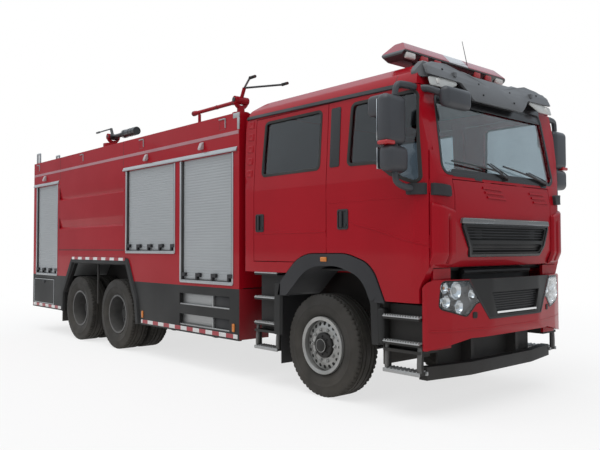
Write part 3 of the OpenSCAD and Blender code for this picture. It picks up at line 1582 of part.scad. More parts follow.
chassis_frame();
front_axle();
rear_axles();
suspension();
driveline();
side_tanks();
underrun_beams();
mudguards();
tow_jaw();
knuckle_right();
knuckle_left();
rim_front_right();
rim_front_left();
rim_mid_right();
rim_mid_left();
rim_rear_right();
rim_rear_left();
tyre_front_right();
tyre_front_left();
tyre_mid_right();
tyre_mid_left();
tyre_rear_right();
tyre_rear_left();
cab_shell();
cab_glass();
front_flap();
grille();
bumper();
bumper_centre();
lamps();
sun_visor();
light_bar();
front_mirror();
wipers();
cab_steps();
cab_interior();
door_front_right();
door_front_left();
door_rear_right();
door_rear_left();
glass_front_right();
glass_front_left();
glass_rear_right();
glass_rear_left();
mirror_right();
mirror_left();
body_sides();
body_ends();
body_frame();
body_skirts();
shutters();
locker_right();
locker_left();
rear_ladder();
monitor_bases();
monitor_head();
monitor_barrel();
gun_head();
gun_barrel();
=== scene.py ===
import math
import bpy
import bmesh
import numpy as np
from mathutils import Matrix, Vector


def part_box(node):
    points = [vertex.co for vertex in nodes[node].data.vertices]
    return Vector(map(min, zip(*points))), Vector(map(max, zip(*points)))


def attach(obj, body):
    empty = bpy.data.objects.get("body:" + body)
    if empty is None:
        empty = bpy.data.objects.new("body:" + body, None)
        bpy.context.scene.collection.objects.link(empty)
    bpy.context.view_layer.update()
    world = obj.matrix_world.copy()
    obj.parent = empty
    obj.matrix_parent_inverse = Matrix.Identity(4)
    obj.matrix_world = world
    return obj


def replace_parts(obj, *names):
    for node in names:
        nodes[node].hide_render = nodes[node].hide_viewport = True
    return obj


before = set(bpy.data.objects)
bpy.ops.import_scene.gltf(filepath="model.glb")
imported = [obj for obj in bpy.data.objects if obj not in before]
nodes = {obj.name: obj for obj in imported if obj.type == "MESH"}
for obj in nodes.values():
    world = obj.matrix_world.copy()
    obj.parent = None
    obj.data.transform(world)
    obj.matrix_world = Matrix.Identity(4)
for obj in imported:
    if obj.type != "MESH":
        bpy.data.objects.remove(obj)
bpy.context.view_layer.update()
print("frame loaded:", len(nodes), "nodes")

# places along the truck count from here
frontAxle = float(sum(c[0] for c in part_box("tyre_front_right")) / 2)
bodySide = float(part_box("body_sides")[1][1])  # half width of the fire body
cabSide = float(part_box("door_rear_left")[1][1])  # half width of the cab


# camera at the photograph's place; angles in degrees, lens in millimetres on a 36 mm wide film
view = {"place": (8.479, -6.033, 1.571), "turn": 48.497, "tilt": 1.905, "roll": -0.142, "lens": 40.186}


def makeCamera():
    turn, tilt, roll = (math.radians(view[k]) for k in ("turn", "tilt", "roll"))
    back = np.array([math.sin(turn) * math.cos(tilt), -math.cos(turn) * math.cos(tilt), -math.sin(tilt)])
    right = np.cross(-back, [0, 0, 1.0])
    right /= np.linalg.norm(right)
    up = np.cross(right, -back)
    across = math.cos(roll) * right + math.sin(roll) * up
    upright = -math.sin(roll) * right + math.cos(roll) * up
    lens = bpy.data.cameras.new("camera")
    lens.sensor_width = 36
    lens.lens = view["lens"]
    lens.clip_end = 500
    camera = bpy.data.objects.new("camera", lens)
    bpy.context.scene.collection.objects.link(camera)
    turned = np.eye(4)
    turned[:3, :3] = np.stack([across, upright, back], axis=1)
    turned[:3, 3] = view["place"]
    camera.matrix_world = Matrix(turned.tolist())
    bpy.context.scene.camera = camera


# shapes: every one is worked out as whole arrays of points and faces


def gridFaces(rows, cols, loopRows=False, loopCols=False):
    # quads between neighbours of a rows by cols grid, closed round where asked
    r = np.arange(rows if loopRows else rows - 1)[:, None]
    c = np.arange(cols if loopCols else cols - 1)[None, :]
    r2, c2 = (r + 1) % rows, (c + 1) % cols
    return np.stack([r * cols + c, r2 * cols + c, r2 * cols + c2, r * cols + c2], -1).reshape(-1, 4)


def roundBox(low, high, radius, steps=3):
    # a sphere's grid whose eight octants are pulled apart to the corners of the box
    low, high = np.minimum(low, high), np.maximum(low, high)
    r = min(radius, float((high - low).min()) / 2 * 0.98)
    quarter = np.linspace(0, math.pi / 2, steps + 1)
    around = np.concatenate([quarter + k * math.pi / 2 for k in range(4)])
    rise = np.concatenate([quarter - math.pi / 2, quarter])
    signX = np.repeat([1, -1, -1, 1], steps + 1)
    signY = np.repeat([1, 1, -1, -1], steps + 1)
    signZ = np.repeat([-1, 1], steps + 1)
    half, mid = (high - low) / 2 - r, (high + low) / 2
    x = signX[None] * half[0] + r * np.cos(rise)[:, None] * np.cos(around)[None]
    y = signY[None] * half[1] + r * np.cos(rise)[:, None] * np.sin(around)[None]
    z = (signZ * half[2] + r * np.sin(rise))[:, None] + 0 * x
    points = np.stack([x, y, z], -1).reshape(-1, 3) + mid
    rows, cols = len(rise), len(around)
    caps = [list(range(cols))[::-1], list(range((rows - 1) * cols, rows * cols))]
    return points, [f[::-1] for f in gridFaces(rows, cols, loopCols=True).tolist()] + caps


def lathe(profile, centre, axis="y", side=1, steps=48, ring=False):
    # rows of radius and height turned round an axis through the centre; side -1 turns it end for end,
    # and a ring's last row joins its first
    profile = np.asarray(profile, float)
    turn = np.linspace(0, 2 * math.pi, steps, endpoint=False)
    a = profile[:, :1] * np.cos(turn)
    b = profile[:, :1] * np.sin(turn)
    h = side * profile[:, 1:2] + 0 * a
    order = {"x": (h, a, b), "y": (a, h, b), "z": (a, b, h)}[axis]
    points = np.stack(order, -1).reshape(-1, 3) + np.asarray(centre, float)
    faces = gridFaces(len(profile), steps, ring, True).tolist()
    if ring:
        return points, faces
    caps = [list(range(steps)), list(range((len(profile) - 1) * steps, len(profile) * steps))[::-1]]
    return points, faces + [c for c, row in zip(caps, (profile[0], profile[-1])) if row[0] > 1e-6]


def tube(path, radius, sides=12, closed=False):
    # a circle carried along a path; each ring stands square to the path's own direction
    path = np.asarray(path, float)
    along = np.gradient(path, axis=0)
    if closed:
        along = np.roll(path, -1, 0) - np.roll(path, 1, 0)
    along /= np.linalg.norm(along, axis=1, keepdims=True)
    # the path's own plane, or any direction across a straight one
    flat = np.linalg.svd(path - path.mean(0))[2][-1]
    first = np.cross(along, flat)
    first /= np.maximum(np.linalg.norm(first, axis=1, keepdims=True), 1e-9)
    second = np.cross(along, first)
    turn = np.linspace(0, 2 * math.pi, sides, endpoint=False)
    r = np.broadcast_to(np.asarray(radius, float), (len(path),))[:, None, None]
    ring = first[:, None] * np.cos(turn)[None, :, None] + second[:, None] * np.sin(turn)[None, :, None]
    points = (path[:, None] + r * ring).reshape(-1, 3)
    faces = gridFaces(len(path), sides, loopRows=closed, loopCols=True).tolist()
    if not closed:
        faces += [list(range(sides))[::-1], list(range((len(path) - 1) * sides, len(path) * sides))]
    return points, faces


def prism(outline, plane, near, far):
    # an outline in two axes carried straight along the third, with its ends filled
    outline = np.asarray(outline, float)
    n = len(outline)
    two = np.concatenate([outline, outline])
    depth = np.repeat([near, far], n)
    spot = {"xz": (two[:, 0], depth, two[:, 1]), "yz": (depth, two[:, 0], two[:, 1])}[plane]
    k = np.arange(n)
    walls = np.stack([k, (k + 1) % n, (k + 1) % n + n, k + n], -1).tolist()
    return np.stack(spot, -1), walls + [list(range(n))[::-1], list(range(n, 2 * n))]


def repeat(shape, moves):
    # copies of one shape, one at each move
    points, faces = shape
    moves = np.asarray(moves, float).reshape(-1, 3)
    allPoints = (moves[:, None] + points[None]).reshape(-1, 3)
    n = len(points)
    return allPoints, [[i + k * n for i in f] for k in range(len(moves)) for f in faces]


def together(*shapes):
    # several shapes as one list of points and faces
    points, faces, start = [], [], 0
    for p, f in shapes:
        points.append(p)
        faces += [[i + start for i in face] for face in f]
        start += len(p)
    return np.concatenate(points), faces


def mirrored(shape):
    # the same shape on the other side of the truck
    points, faces = shape
    return points * [1, -1, 1], [f[::-1] for f in faces]


def bothSides(*shapes):
    # shapes drawn on the truck's right, and the same on its left
    right = together(*shapes)
    return together(right, mirrored(right))


def oneSide(shape, side):
    # a shape drawn on the truck's right, on the side asked for
    return shape if side == "right" else mirrored(shape)


def spread(x, y, z):
    # a move for each place, single numbers repeated
    return np.stack(np.broadcast_arrays(x, y, z), -1)


def rect(a0, a1, b0, b1, radius):
    # rows of a rectangle with rounded corners, for an outline
    return [(a0, b0, radius), (a1, b0, radius), (a1, b1, radius), (a0, b1, radius)]


def smoothPath(points, steps=8):
    # a smooth curve through a few given points
    p = np.asarray(points, float)
    p = np.concatenate([2 * p[:1] - p[1:2], p, 2 * p[-1:] - p[-2:-1]])
    t = np.linspace(0, 1, steps, endpoint=False)[None, :, None]
    a, b, c, d = (p[k:len(p) - 3 + k][:, None] for k in range(4))
    curve = 0.5 * (2 * b + (c - a) * t + (2 * a - 5 * b + 4 * c - d) * t**2 + (3 * b - a - 3 * c + d) * t**3)
    return np.concatenate([curve.reshape(-1, p.shape[1]), p[-2:-1]])


def outline(rows, steps=6):
    # rows of two places and a corner radius, every corner drawn as an arc between its tangent points
    rows = np.asarray(rows, float)
    p, r = rows[:, :2], np.maximum(rows[:, 2:], 1e-4)
    u, v = np.roll(p, 1, 0) - p, np.roll(p, -1, 0) - p
    u, v = u / np.linalg.norm(u, axis=1, keepdims=True), v / np.linalg.norm(v, axis=1, keepdims=True)
    half = np.arccos(np.clip((u * v).sum(1, keepdims=True), -1, 1)) / 2
    mid = p + (u + v) / np.linalg.norm(u + v, axis=1, keepdims=True) * r / np.sin(half)
    s, e = p + u * r / np.tan(half) - mid, p + v * r / np.tan(half) - mid
    w = np.arccos(np.clip((s * e).sum(1, keepdims=True) / r**2, -1, 1))[:, None]
    t = np.linspace(0, 1, steps + 1)[None, :, None]
    arc = (np.sin((1 - t) * w) * s[:, None] + np.sin(t * w) * e[:, None]) / np.maximum(np.sin(w), 1e-6)
    return (mid[:, None] + arc).reshape(-1, 2)


def dense(loop, step=0.06):
    # a closed loop with points added along its long stretches, so that it follows a curved wall
    ends = np.concatenate([loop, loop[:1]])
    run = np.concatenate([[0], np.cumsum(np.linalg.norm(np.diff(ends, axis=0), axis=1))])
    keep = np.unique(np.round(np.concatenate([run, np.arange(0, run[-1], step)]), 6))[:-1]
    return np.stack([np.interp(keep, run, ends[:, k]) for k in (0, 1)], -1)


def ribbon(path, width, lift, place, closed=False, sink=0.004):
    # a flat bar carried along a path on a wall: four edges across it, the middle two lifted off the wall
    path = np.asarray(path, float)
    if closed:
        path = dense(path)
    else:
        runs = [np.linspace(a, b, 12, endpoint=False) for a, b in zip(path[:-1], path[1:])]
        path = np.concatenate(runs + [path[-1:]])
    along = np.roll(path, -1, 0) - np.roll(path, 1, 0) if closed else np.gradient(path, axis=0)
    along /= np.linalg.norm(along, axis=1, keepdims=True)
    across = np.stack([-along[:, 1], along[:, 0]], -1)
    flat = path[:, None] + across[:, None] * (np.array([-0.5, -0.36, 0.36, 0.5]) * width)[None, :, None]
    heights = np.array([-sink, lift, lift, -sink]) + 0 * flat[..., 0]
    points = place(flat[..., 0], flat[..., 1], heights)
    n = len(path)
    faces = gridFaces(n, 4, loopRows=closed, loopCols=True).tolist()
    ends = [] if closed else [[0, 1, 2, 3], [4 * n - 1, 4 * n - 2, 4 * n - 3, 4 * n - 4]]
    return points.reshape(-1, 3), faces + ends


def pad(rows, levels, place, steps=6):
    # an outline filled by rings that shrink to its middle, each ring at its own height over the wall
    loop = dense(outline(rows, steps))
    mid = (loop.max(0) + loop.min(0)) / 2
    levels = np.asarray(levels, float)
    flat = mid + levels[:, :1, None] * (loop - mid)[None]
    points = place(flat[..., 0], flat[..., 1], levels[:, 1:] + 0 * flat[..., 0])
    n, m = len(loop), len(levels)
    faces = gridFaces(m, n, loopCols=True).tolist()
    return points.reshape(-1, 3), faces + [list(range((m - 1) * n, m * n))]


def cushion(size, crown, seams=()):
    # two sheets that meet at the rim: height falls off as the eighth power of the distance from the middle,
    # with a soft furrow along each seam
    u = np.linspace(-1, 1, 33)
    a, b = np.meshgrid(u, u, indexing="ij")
    fall = ((1 - a**8) * (1 - b**8)) ** 0.5
    swell = 1 + crown * (1 - a**2) * (1 - b**2)
    furrow = sum((np.exp(-((b - s) / 0.05) ** 2) for s in seams), 0 * b)
    top = size[2] / 2 * fall * (swell - 0.16 * furrow)
    sheet = np.stack([a * size[0] / 2, b * size[1] / 2, top], -1).reshape(-1, 3)
    under = sheet * [1, 1, -0.8]
    faces = gridFaces(33, 33)
    return np.concatenate([sheet, under]), faces.tolist() + [f[::-1] for f in (faces + len(sheet)).tolist()]


def turned(shape, degrees, move):
    # a shape tilted about the truck's cross direction, then moved
    points, faces = shape
    c, s = math.cos(math.radians(degrees)), math.sin(math.radians(degrees))
    x, y, z = points.T
    return np.stack([c * x + s * z, y, c * z - s * x], -1) + np.asarray(move, float), faces


def fromAxle(rows, axle=frontAxle):
    # places along the truck counted from an axle, as places in the frame
    rows = np.array(rows, float)
    rows[:, 0] += axle
    return rows


def ribbons(rows, place):
    # bars on a wall from rows of path, width and height
    return [ribbon(path, width, lift, place) for path, width, lift in rows]


def boxes(rows):
    # rounded boxes from rows of low corner, high corner, radius and, where given, steps
    return [roundBox(*row) for row in rows]


# walls of the truck that trim is laid on: each gives the point at two places along it and a height off it

wall = {"nose": frontAxle + 1.5, "bow": 0.045, "bowHalf": 0.48,
        "corner": 0.24, "cornerX": frontAxle + 1.2288, "cornerY": 1.0,
        "front": 1.97, "tail": float(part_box("body_sides")[0][0])}


def cabHalf(x, z):
    # half width of the cab: the smaller of its rounded plan and its section, which leans in above the waist
    ahead = np.clip(x - wall["cornerX"], 0, wall["corner"])
    plan = cabSide - wall["corner"] + np.sqrt(wall["corner"] ** 2 - ahead**2)
    return np.minimum(plan, np.interp(z, [0, 2.23, 3.09, 3.21, 3.35], [cabSide, cabSide, 1.19, 1.12, 0.9]))


def noseX(y, z):
    # foremost face of the cab: the least of its bowed plan, its rounded corner and its side outline;
    # inside the corner's centre line the corner is put out of the way
    side = np.abs(y)
    share = np.clip((side - wall["bowHalf"]) / (cabSide - wall["bowHalf"]), 0, 1)
    bowed = wall["nose"] - wall["bow"] * share
    bend = np.sqrt(np.clip(wall["corner"] ** 2 - np.clip(side - wall["cornerY"], 0, 1) ** 2, 0, 1))
    corner = wall["cornerX"] + bend + (side < wall["cornerY"])
    profile = wall["nose"] - np.interp(z, [1.38, 1.5, 1.62, 1.9, 2.23, 3.05, 3.26],
                                       [0.09, 0.036, 0.0, 0.0, 0.055, 0.19, 0.27])
    return np.minimum(np.minimum(bowed, corner), profile)


def bumperX(y, z):
    # plan of the bumper, and its chin that tucks in below the crease
    reach = np.interp(np.abs(y), [0, 0.37, 0.48, 0.94, 1.15, 1.185, 1.2],
                      [4.91, 4.91, 4.8985, 4.8098, 4.7373, 4.722, 4.699])
    return np.minimum(reach, 4.91 - 0.282 * np.clip(0.8 - z, 0, 1))


def onCab(u, v, h):
    return np.stack([u, -(cabHalf(u, v) + h), v + 0 * h], -1)


def onBody(u, v, h):
    return np.stack([u + 0 * h, -(bodySide + h), v + 0 * h], -1)


def onNose(u, v, h):
    return np.stack([noseX(u, v) + h, u + 0 * h, v + 0 * h], -1)


def onBumper(u, v, h):
    return np.stack([bumperX(u, v) + h, u + 0 * h, v + 0 * h], -1)


def onTail(u, v, h):
    return np.stack([wall["tail"] - h, u + 0 * h, v + 0 * h], -1)


def onVisor(u, v, h):
    # the visor's face leans back as it rises
    reach = np.interp(v, [3.05, 3.15, 3.25, 3.30, 3.33], [4.731, 4.7034, 4.6597, 4.6208, 4.60])
    return np.stack([reach + h, u + 0 * h, v + 0 * h], -1)


creases = {"piece": 38, "node": 32}  # degrees: an edge that turns further stays sharp


def piece(name, shape, body, material, smooth=True, bevel=0.0):
    # a shape as an object that rides on its body, with its edges softened where asked
    points, faces = shape
    mesh = bpy.data.meshes.new(name)
    mesh.from_pydata(np.asarray(points).tolist(), [], faces)
    mesh.validate()
    mesh.update()
    work = bpy.data.objects.new(name, mesh)
    bpy.context.scene.collection.objects.link(work)
    fixNormals(mesh)
    if smooth:
        mesh.shade_smooth()
        mesh.set_sharp_from_angle(angle=math.radians(creases["piece"]))
    if bevel:
        soft = work.modifiers.new("edge", "BEVEL")
        soft.width = bevel
        soft.segments = 2
        soft.limit_method = "ANGLE"
    mesh.materials.append(material)
    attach(work, body)
    return work


def fixNormals(mesh):
    work = bmesh.new()
    work.from_mesh(mesh)
    bmesh.ops.remove_doubles(work, verts=work.verts, dist=1e-6)
    bmesh.ops.recalc_face_normals(work, faces=work.faces)
    work.to_mesh(mesh)
    work.free()


# materials: a few shared effects as node groups, then one function for each finish


def feed(tree, node, inputs):
    # each input gets another node's output or a plain value
    for key, value in inputs.items():
        if isinstance(value, bpy.types.NodeSocket):
            tree.links.new(value, node.inputs[key])
        else:
            node.inputs[key].default_value = value


def addNode(tree, kind, inputs=None, **settings):
    node = tree.nodes.new(kind)
    for key, value in settings.items():
        setattr(node, key, value)
    feed(tree, node, inputs or {})
    return node


def mathNode(tree, operation, a, b=0.0, clamp=False):
    return addNode(tree, "ShaderNodeMath", {0: a, 1: b}, operation=operation, use_clamp=clamp).outputs[0]


def ramp(tree, value, low, high, toLow=0.0, toHigh=1.0):
    return addNode(tree, "ShaderNodeMapRange", {"Value": value, "From Min": low, "From Max": high,
                   "To Min": toLow, "To Max": toHigh}, interpolation_type="SMOOTHSTEP").outputs["Result"]


def mixColour(tree, factor, a, b):
    node = addNode(tree, "ShaderNodeMix", data_type="RGBA")
    for key, value in (("Factor", factor), ("A", a), ("B", b)):
        kind = "VALUE" if key == "Factor" else "RGBA"
        socket = [s for s in node.inputs if s.name == key and s.type == kind][0]
        if isinstance(value, bpy.types.NodeSocket):
            tree.links.new(value, socket)
        else:
            socket.default_value = value if key == "Factor" else (*value, 1)
    return [s for s in node.outputs if s.type == "RGBA"][0]


def newGroup(name, inputs, outputs):
    group = bpy.data.node_groups.new(name, "ShaderNodeTree")
    for label, kind, start in inputs:
        socket = group.interface.new_socket(label, in_out="INPUT", socket_type=kind)
        socket.default_value = start
    for label in outputs:
        group.interface.new_socket(label, in_out="OUTPUT", socket_type="NodeSocketFloat")
    return group, group.nodes.new("NodeGroupInput").outputs, group.nodes.new("NodeGroupOutput").inputs


def objectPlace(tree):
    return addNode(tree, "ShaderNodeTexCoord").outputs["Object"]


def makeDust():
    # road dust: thick near the ground, broken up by a cloudy noise
    inputs = [("Top", "NodeSocketFloat", 1.2), ("Amount", "NodeSocketFloat", 0.5)]
    group, given, out = newGroup("roadDust", inputs, ["Mask"])
    place = objectPlace(group)
    height = addNode(group, "ShaderNodeSeparateXYZ", {0: place}).outputs["Z"]
    cloud = addNode(group, "ShaderNodeTexNoise",
                    {"Vector": place, "Scale": 2.6, "Detail": 6.0, "Roughness": 0.65})
    fall = mathNode(group, "SUBTRACT", 1.0, mathNode(group, "DIVIDE", height, given["Top"]), True)
    broken = ramp(group, cloud.outputs["Fac"], 0.28, 0.72, 0.35, 1.0)
    mask = mathNode(group, "MULTIPLY", mathNode(group, "MULTIPLY", fall, broken), given["Amount"], True)
    group.links.new(mask, out["Mask"])
    return group


def makeGrain():
    # fine moulded grain or orange peel with a slow drift, as a height and a drift value
    inputs = [("Scale", "NodeSocketFloat", 300.0), ("Drift", "NodeSocketFloat", 1.5)]
    group, given, out = newGroup("fineGrain", inputs, ["Height", "Drift"])
    place = objectPlace(group)
    fine = addNode(group, "ShaderNodeTexNoise", {"Vector": place, "Scale": given["Scale"], "Detail": 3.0})
    slow = addNode(group, "ShaderNodeTexNoise", {"Vector": place, "Scale": given["Drift"], "Detail": 4.0})
    group.links.new(fine.outputs["Fac"], out["Height"])
    group.links.new(slow.outputs["Fac"], out["Drift"])
    return group


def makeBrush():
    # brushed metal: noise drawn out along one direction by the stretch
    inputs = [("Stretch", "NodeSocketVector", (2.0, 2.0, 400.0))]
    group, given, out = newGroup("brushedLines", inputs, ["Lines"])
    place = addNode(group, "ShaderNodeMapping", {"Vector": objectPlace(group), "Scale": given["Stretch"]})
    lines = addNode(group, "ShaderNodeTexNoise", {"Vector": place.outputs[0], "Scale": 1.0, "Detail": 4.0})
    group.links.new(lines.outputs["Fac"], out["Lines"])
    return group


effects = {"dust": makeDust(), "grain": makeGrain(), "brush": makeBrush()}
dustColour = (0.17, 0.15, 0.125)


def effect(tree, name, **inputs):
    node = tree.nodes.new("ShaderNodeGroup")
    node.node_tree = effects[name]
    feed(tree, node, inputs)
    return node.outputs


def drifted(tree, grainOut, low=0.0, high=1.0):
    # a value that wanders between two others over the grain's slow drift
    return ramp(tree, grainOut["Drift"], 0.3, 0.7, low, high)


def dusted(tree, shader, tone, dust):
    # a colour under road dust, of a top and an amount, as the base colour; gives the dust's mask
    mask = effect(tree, "dust", Top=dust[0], Amount=dust[1])["Mask"]
    feed(tree, shader, {"Base Color": mixColour(tree, mask, tone, dustColour)})
    return mask


def newMaterial(name):
    material = bpy.data.materials.new(name)
    material.use_nodes = True
    tree = material.node_tree
    return material, tree, tree.nodes["Principled BSDF"]


def setBump(tree, shader, height, strength, distance):
    bump = addNode(tree, "ShaderNodeBump", {"Height": height, "Strength": strength, "Distance": distance})
    feed(tree, shader, {"Normal": bump.outputs[0]})


def finish(name, colour, shade, rough, metal=0.0, grain=300.0, bump=(0.1, 0.001), dust=(1.2, 0.3),
           drift=1.5, gloss=0.5, coat=0.0, coatRough=0.1):
    # a solid finish: colour drifting to a second shade, grain as bump, dust towards the ground
    material, tree, shader = newMaterial(name)
    grainOut = effect(tree, "grain", Scale=grain, Drift=drift)
    mask = dusted(tree, shader, mixColour(tree, drifted(tree, grainOut), colour, shade), dust)
    dull = mathNode(tree, "MULTIPLY", mask, 0.4)
    feed(tree, shader, {"Roughness": mathNode(tree, "ADD", drifted(tree, grainOut, *rough), dull, True),
                        "Metallic": metal, "Specular IOR Level": gloss,
                        "Coat Weight": coat, "Coat Roughness": coatRough})
    setBump(tree, shader, grainOut["Height"], *bump)
    return material


redPaint = finish("redPaint", (0.303, 0.0034, 0.0104), (0.280, 0.0028, 0.0090), (0.34, 0.42), grain=70,
                  bump=(0.05, 0.002), dust=(1.0, 0.05), gloss=0.06, coat=0.28, coatRough=0.06)
redDeep = finish("redDeep", (0.21, 0.005, 0.010), (0.17, 0.004, 0.008), (0.35, 0.45), dust=(1.0, 0.1),
                 gloss=0.35)
greyPaint = finish("greyPaint", (0.019, 0.019, 0.019), (0.015, 0.015, 0.015), (0.42, 0.52), grain=160,
                   bump=(0.08, 0.001), dust=(1.3, 0.08), gloss=0.22)
visorGrey = finish("visorGrey", (0.108, 0.112, 0.118), (0.096, 0.100, 0.106), (0.40, 0.5), grain=220,
                   dust=(0.5, 0.0), gloss=0.4)
blackPlastic = finish("blackPlastic", (0.023, 0.023, 0.025), (0.018, 0.018, 0.020), (0.45, 0.58),
                      grain=420, bump=(0.18, 0.0008), dust=(1.3, 0.10), gloss=0.32)
mirrorShell = finish("mirrorShell", (0.043, 0.045, 0.051), (0.036, 0.038, 0.043), (0.35, 0.48), grain=420,
                     gloss=0.4, bump=(0.18, 0.0008), dust=(1.0, 0.05))
chassisBlack = finish("chassisBlack", (0.012, 0.012, 0.013), (0.017, 0.016, 0.015), (0.5, 0.65),
                      grain=120, dust=(1.3, 0.14), gloss=0.3)
rubber = finish("rubber", (0.030, 0.029, 0.028), (0.022, 0.021, 0.020), (0.6, 0.75), grain=500,
                dust=(1.3, 0.4), gloss=0.3)
tyreRubber = finish("tyreRubber", (0.023, 0.021, 0.019), (0.018, 0.017, 0.015), (0.65, 0.8), grain=260,
                    bump=(0.25, 0.001), dust=(1.5, 0.24), gloss=0.3, drift=5)
wheelSilver = finish("wheelSilver", (0.36, 0.36, 0.35), (0.28, 0.28, 0.27), (0.28, 0.4), metal=0.55,
                     grain=140, dust=(1.2, 0.30), drift=7)
wheelGrey = finish("wheelGrey", (0.10, 0.10, 0.10), (0.07, 0.07, 0.07), (0.4, 0.5), metal=0.2, grain=140,
                   dust=(1.2, 0.35), drift=7)
hubDark = finish("hubDark", (0.010, 0.010, 0.010), (0.016, 0.015, 0.014), (0.45, 0.6), dust=(1.2, 0.06),
                 gloss=0.3)
engineGrey = finish("engineGrey", (0.12, 0.12, 0.12), (0.08, 0.08, 0.078), (0.45, 0.6), metal=0.4,
                    grain=90, dust=(1.3, 0.4))
gunBlack = finish("gunBlack", (0.016, 0.016, 0.017), (0.022, 0.022, 0.023), (0.32, 0.42), dust=(0.5, 0.0))
trimGrey = finish("trimGrey", (0.060, 0.060, 0.060), (0.048, 0.048, 0.048), (0.55, 0.7), grain=350,
                  bump=(0.2, 0.0008), dust=(0.5, 0.0), gloss=0.35)
liningGrey = finish("liningGrey", (0.20, 0.20, 0.195), (0.17, 0.17, 0.165), (0.7, 0.85), grain=420,
                    dust=(0.5, 0.0), bump=(0.25, 0.001), gloss=0.2)
stripeTape = finish("stripeTape", (0.36, 0.18, 0.20), (0.32, 0.15, 0.17), (0.3, 0.4), dust=(1.0, 0.1),
                    gloss=0.35)
flareGrey = finish("flareGrey", (0.014, 0.014, 0.014), (0.010, 0.010, 0.010), (0.5, 0.6), grain=300,
                   dust=(1.5, 0.06), gloss=0.3)
lampShell = finish("lampShell", (0.40, 0.34, 0.35), (0.34, 0.29, 0.30), (0.35, 0.45), dust=(0.5, 0.0))
seatCloth = finish("seatCloth", (0.050, 0.052, 0.058), (0.038, 0.040, 0.046), (0.7, 0.85), grain=600,
                   bump=(0.3, 0.001), dust=(0.5, 0.0), gloss=0.2)
plateWhite = finish("plateWhite", (0.72, 0.72, 0.70), (0.66, 0.66, 0.64), (0.3, 0.4), dust=(1.0, 0.2))
panelWhite = finish("panelWhite", (0.46, 0.47, 0.46), (0.40, 0.41, 0.40), (0.3, 0.4), dust=(0.5, 0.0))
glossBlack = finish("glossBlack", (0.012, 0.012, 0.013), (0.016, 0.016, 0.017), (0.22, 0.32), grain=200,
                    dust=(1.0, 0.1), gloss=0.35)
netBlack = finish("netBlack", (0.010, 0.010, 0.010), (0.014, 0.014, 0.014), (0.6, 0.7), dust=(1.0, 0.1),
                  gloss=0.25)
lampDark = finish("lampDark", (0.10, 0.10, 0.10), (0.07, 0.07, 0.07), (0.25, 0.35), metal=0.5,
                  dust=(1.0, 0.1))
chromeDark = finish("chromeDark", (0.20, 0.20, 0.20), (0.16, 0.16, 0.16), (0.26, 0.34), metal=0.7,
                    dust=(1.0, 0.1))
chrome = finish("chrome", (0.72, 0.73, 0.74), (0.62, 0.63, 0.64), (0.10, 0.18), metal=1.0,
                dust=(1.0, 0.1))


def brushed(name, colour, shade, stretch, rough, metal, dust=(1.0, 0.1)):
    # rolled aluminium: fine lines in colour and roughness, dust near the ground
    material, tree, shader = newMaterial(name)
    lines = effect(tree, "brush", Stretch=stretch)["Lines"]
    grainOut = effect(tree, "grain", Scale=500.0, Drift=1.1)
    mixed = mathNode(tree, "ADD", mathNode(tree, "MULTIPLY", lines, 0.5),
                     mathNode(tree, "MULTIPLY", grainOut["Drift"], 0.5))
    dusted(tree, shader, mixColour(tree, ramp(tree, mixed, 0.3, 0.7), colour, shade), dust)
    feed(tree, shader, {"Roughness": ramp(tree, lines, 0.25, 0.75, *rough), "Metallic": metal})
    setBump(tree, shader, lines, 0.05, 0.0006)
    return material


curtainAlloy = brushed("curtainAlloy", (0.325, 0.340, 0.350), (0.295, 0.310, 0.320), (3, 3, 260),
                       (0.42, 0.55), 0.25)
frameAlloy = brushed("frameAlloy", (0.40, 0.41, 0.42), (0.33, 0.34, 0.35), (260, 260, 3), (0.28, 0.4),
                     0.6)
plateAlloy = brushed("plateAlloy", (0.42, 0.43, 0.43), (0.33, 0.33, 0.33), (3, 260, 260), (0.35, 0.5),
                     0.6, (1.3, 0.3))


def makeGlass(name, colour):
    # tinted safety glass, with a faint haze of dirt that wipes thin in places
    material, tree, shader = newMaterial(name)
    grainOut = effect(tree, "grain", Scale=30.0, Drift=2.2)
    haze = ramp(tree, grainOut["Drift"], 0.35, 0.75, 0.0, 0.012)
    tone = mixColour(tree, drifted(tree, grainOut), colour, tuple(0.9 * c for c in colour))
    feed(tree, shader, {"Base Color": tone, "Roughness": haze, "Transmission Weight": 1.0, "IOR": 1.45})
    return material


tintedGlass = makeGlass("tintedGlass", (0.25, 0.28, 0.30))
screenGlass = makeGlass("screenGlass", (0.93, 1.0, 0.97))
lampGlass = makeGlass("lampGlass", (0.85, 0.87, 0.88))


def lens(name, colour, glow):
    # moulded lamp lens: fine ribs across, a trace of its own light so that it reads in shade
    material, tree, shader = newMaterial(name)
    grainOut = effect(tree, "grain", Scale=120.0, Drift=9.0)
    ribs = addNode(tree, "ShaderNodeTexWave", {"Vector": objectPlace(tree), "Scale": 60.0},
                   bands_direction="Z").outputs["Fac"]
    feed(tree, shader, {"Base Color": mixColour(tree, ribs, colour, tuple(0.7 * c for c in colour)),
                        "Roughness": drifted(tree, grainOut, 0.12, 0.2),
                        "Emission Color": (*colour, 1), "Emission Strength": glow})
    setBump(tree, shader, ribs, 0.3, 0.001)
    return material


amberLens = lens("amberLens", (0.55, 0.17, 0.02), 0.06)
redLens = lens("redLens", (0.40, 0.012, 0.016), 0.03)
clearLens = lens("clearLens", (0.62, 0.62, 0.60), 0.03)


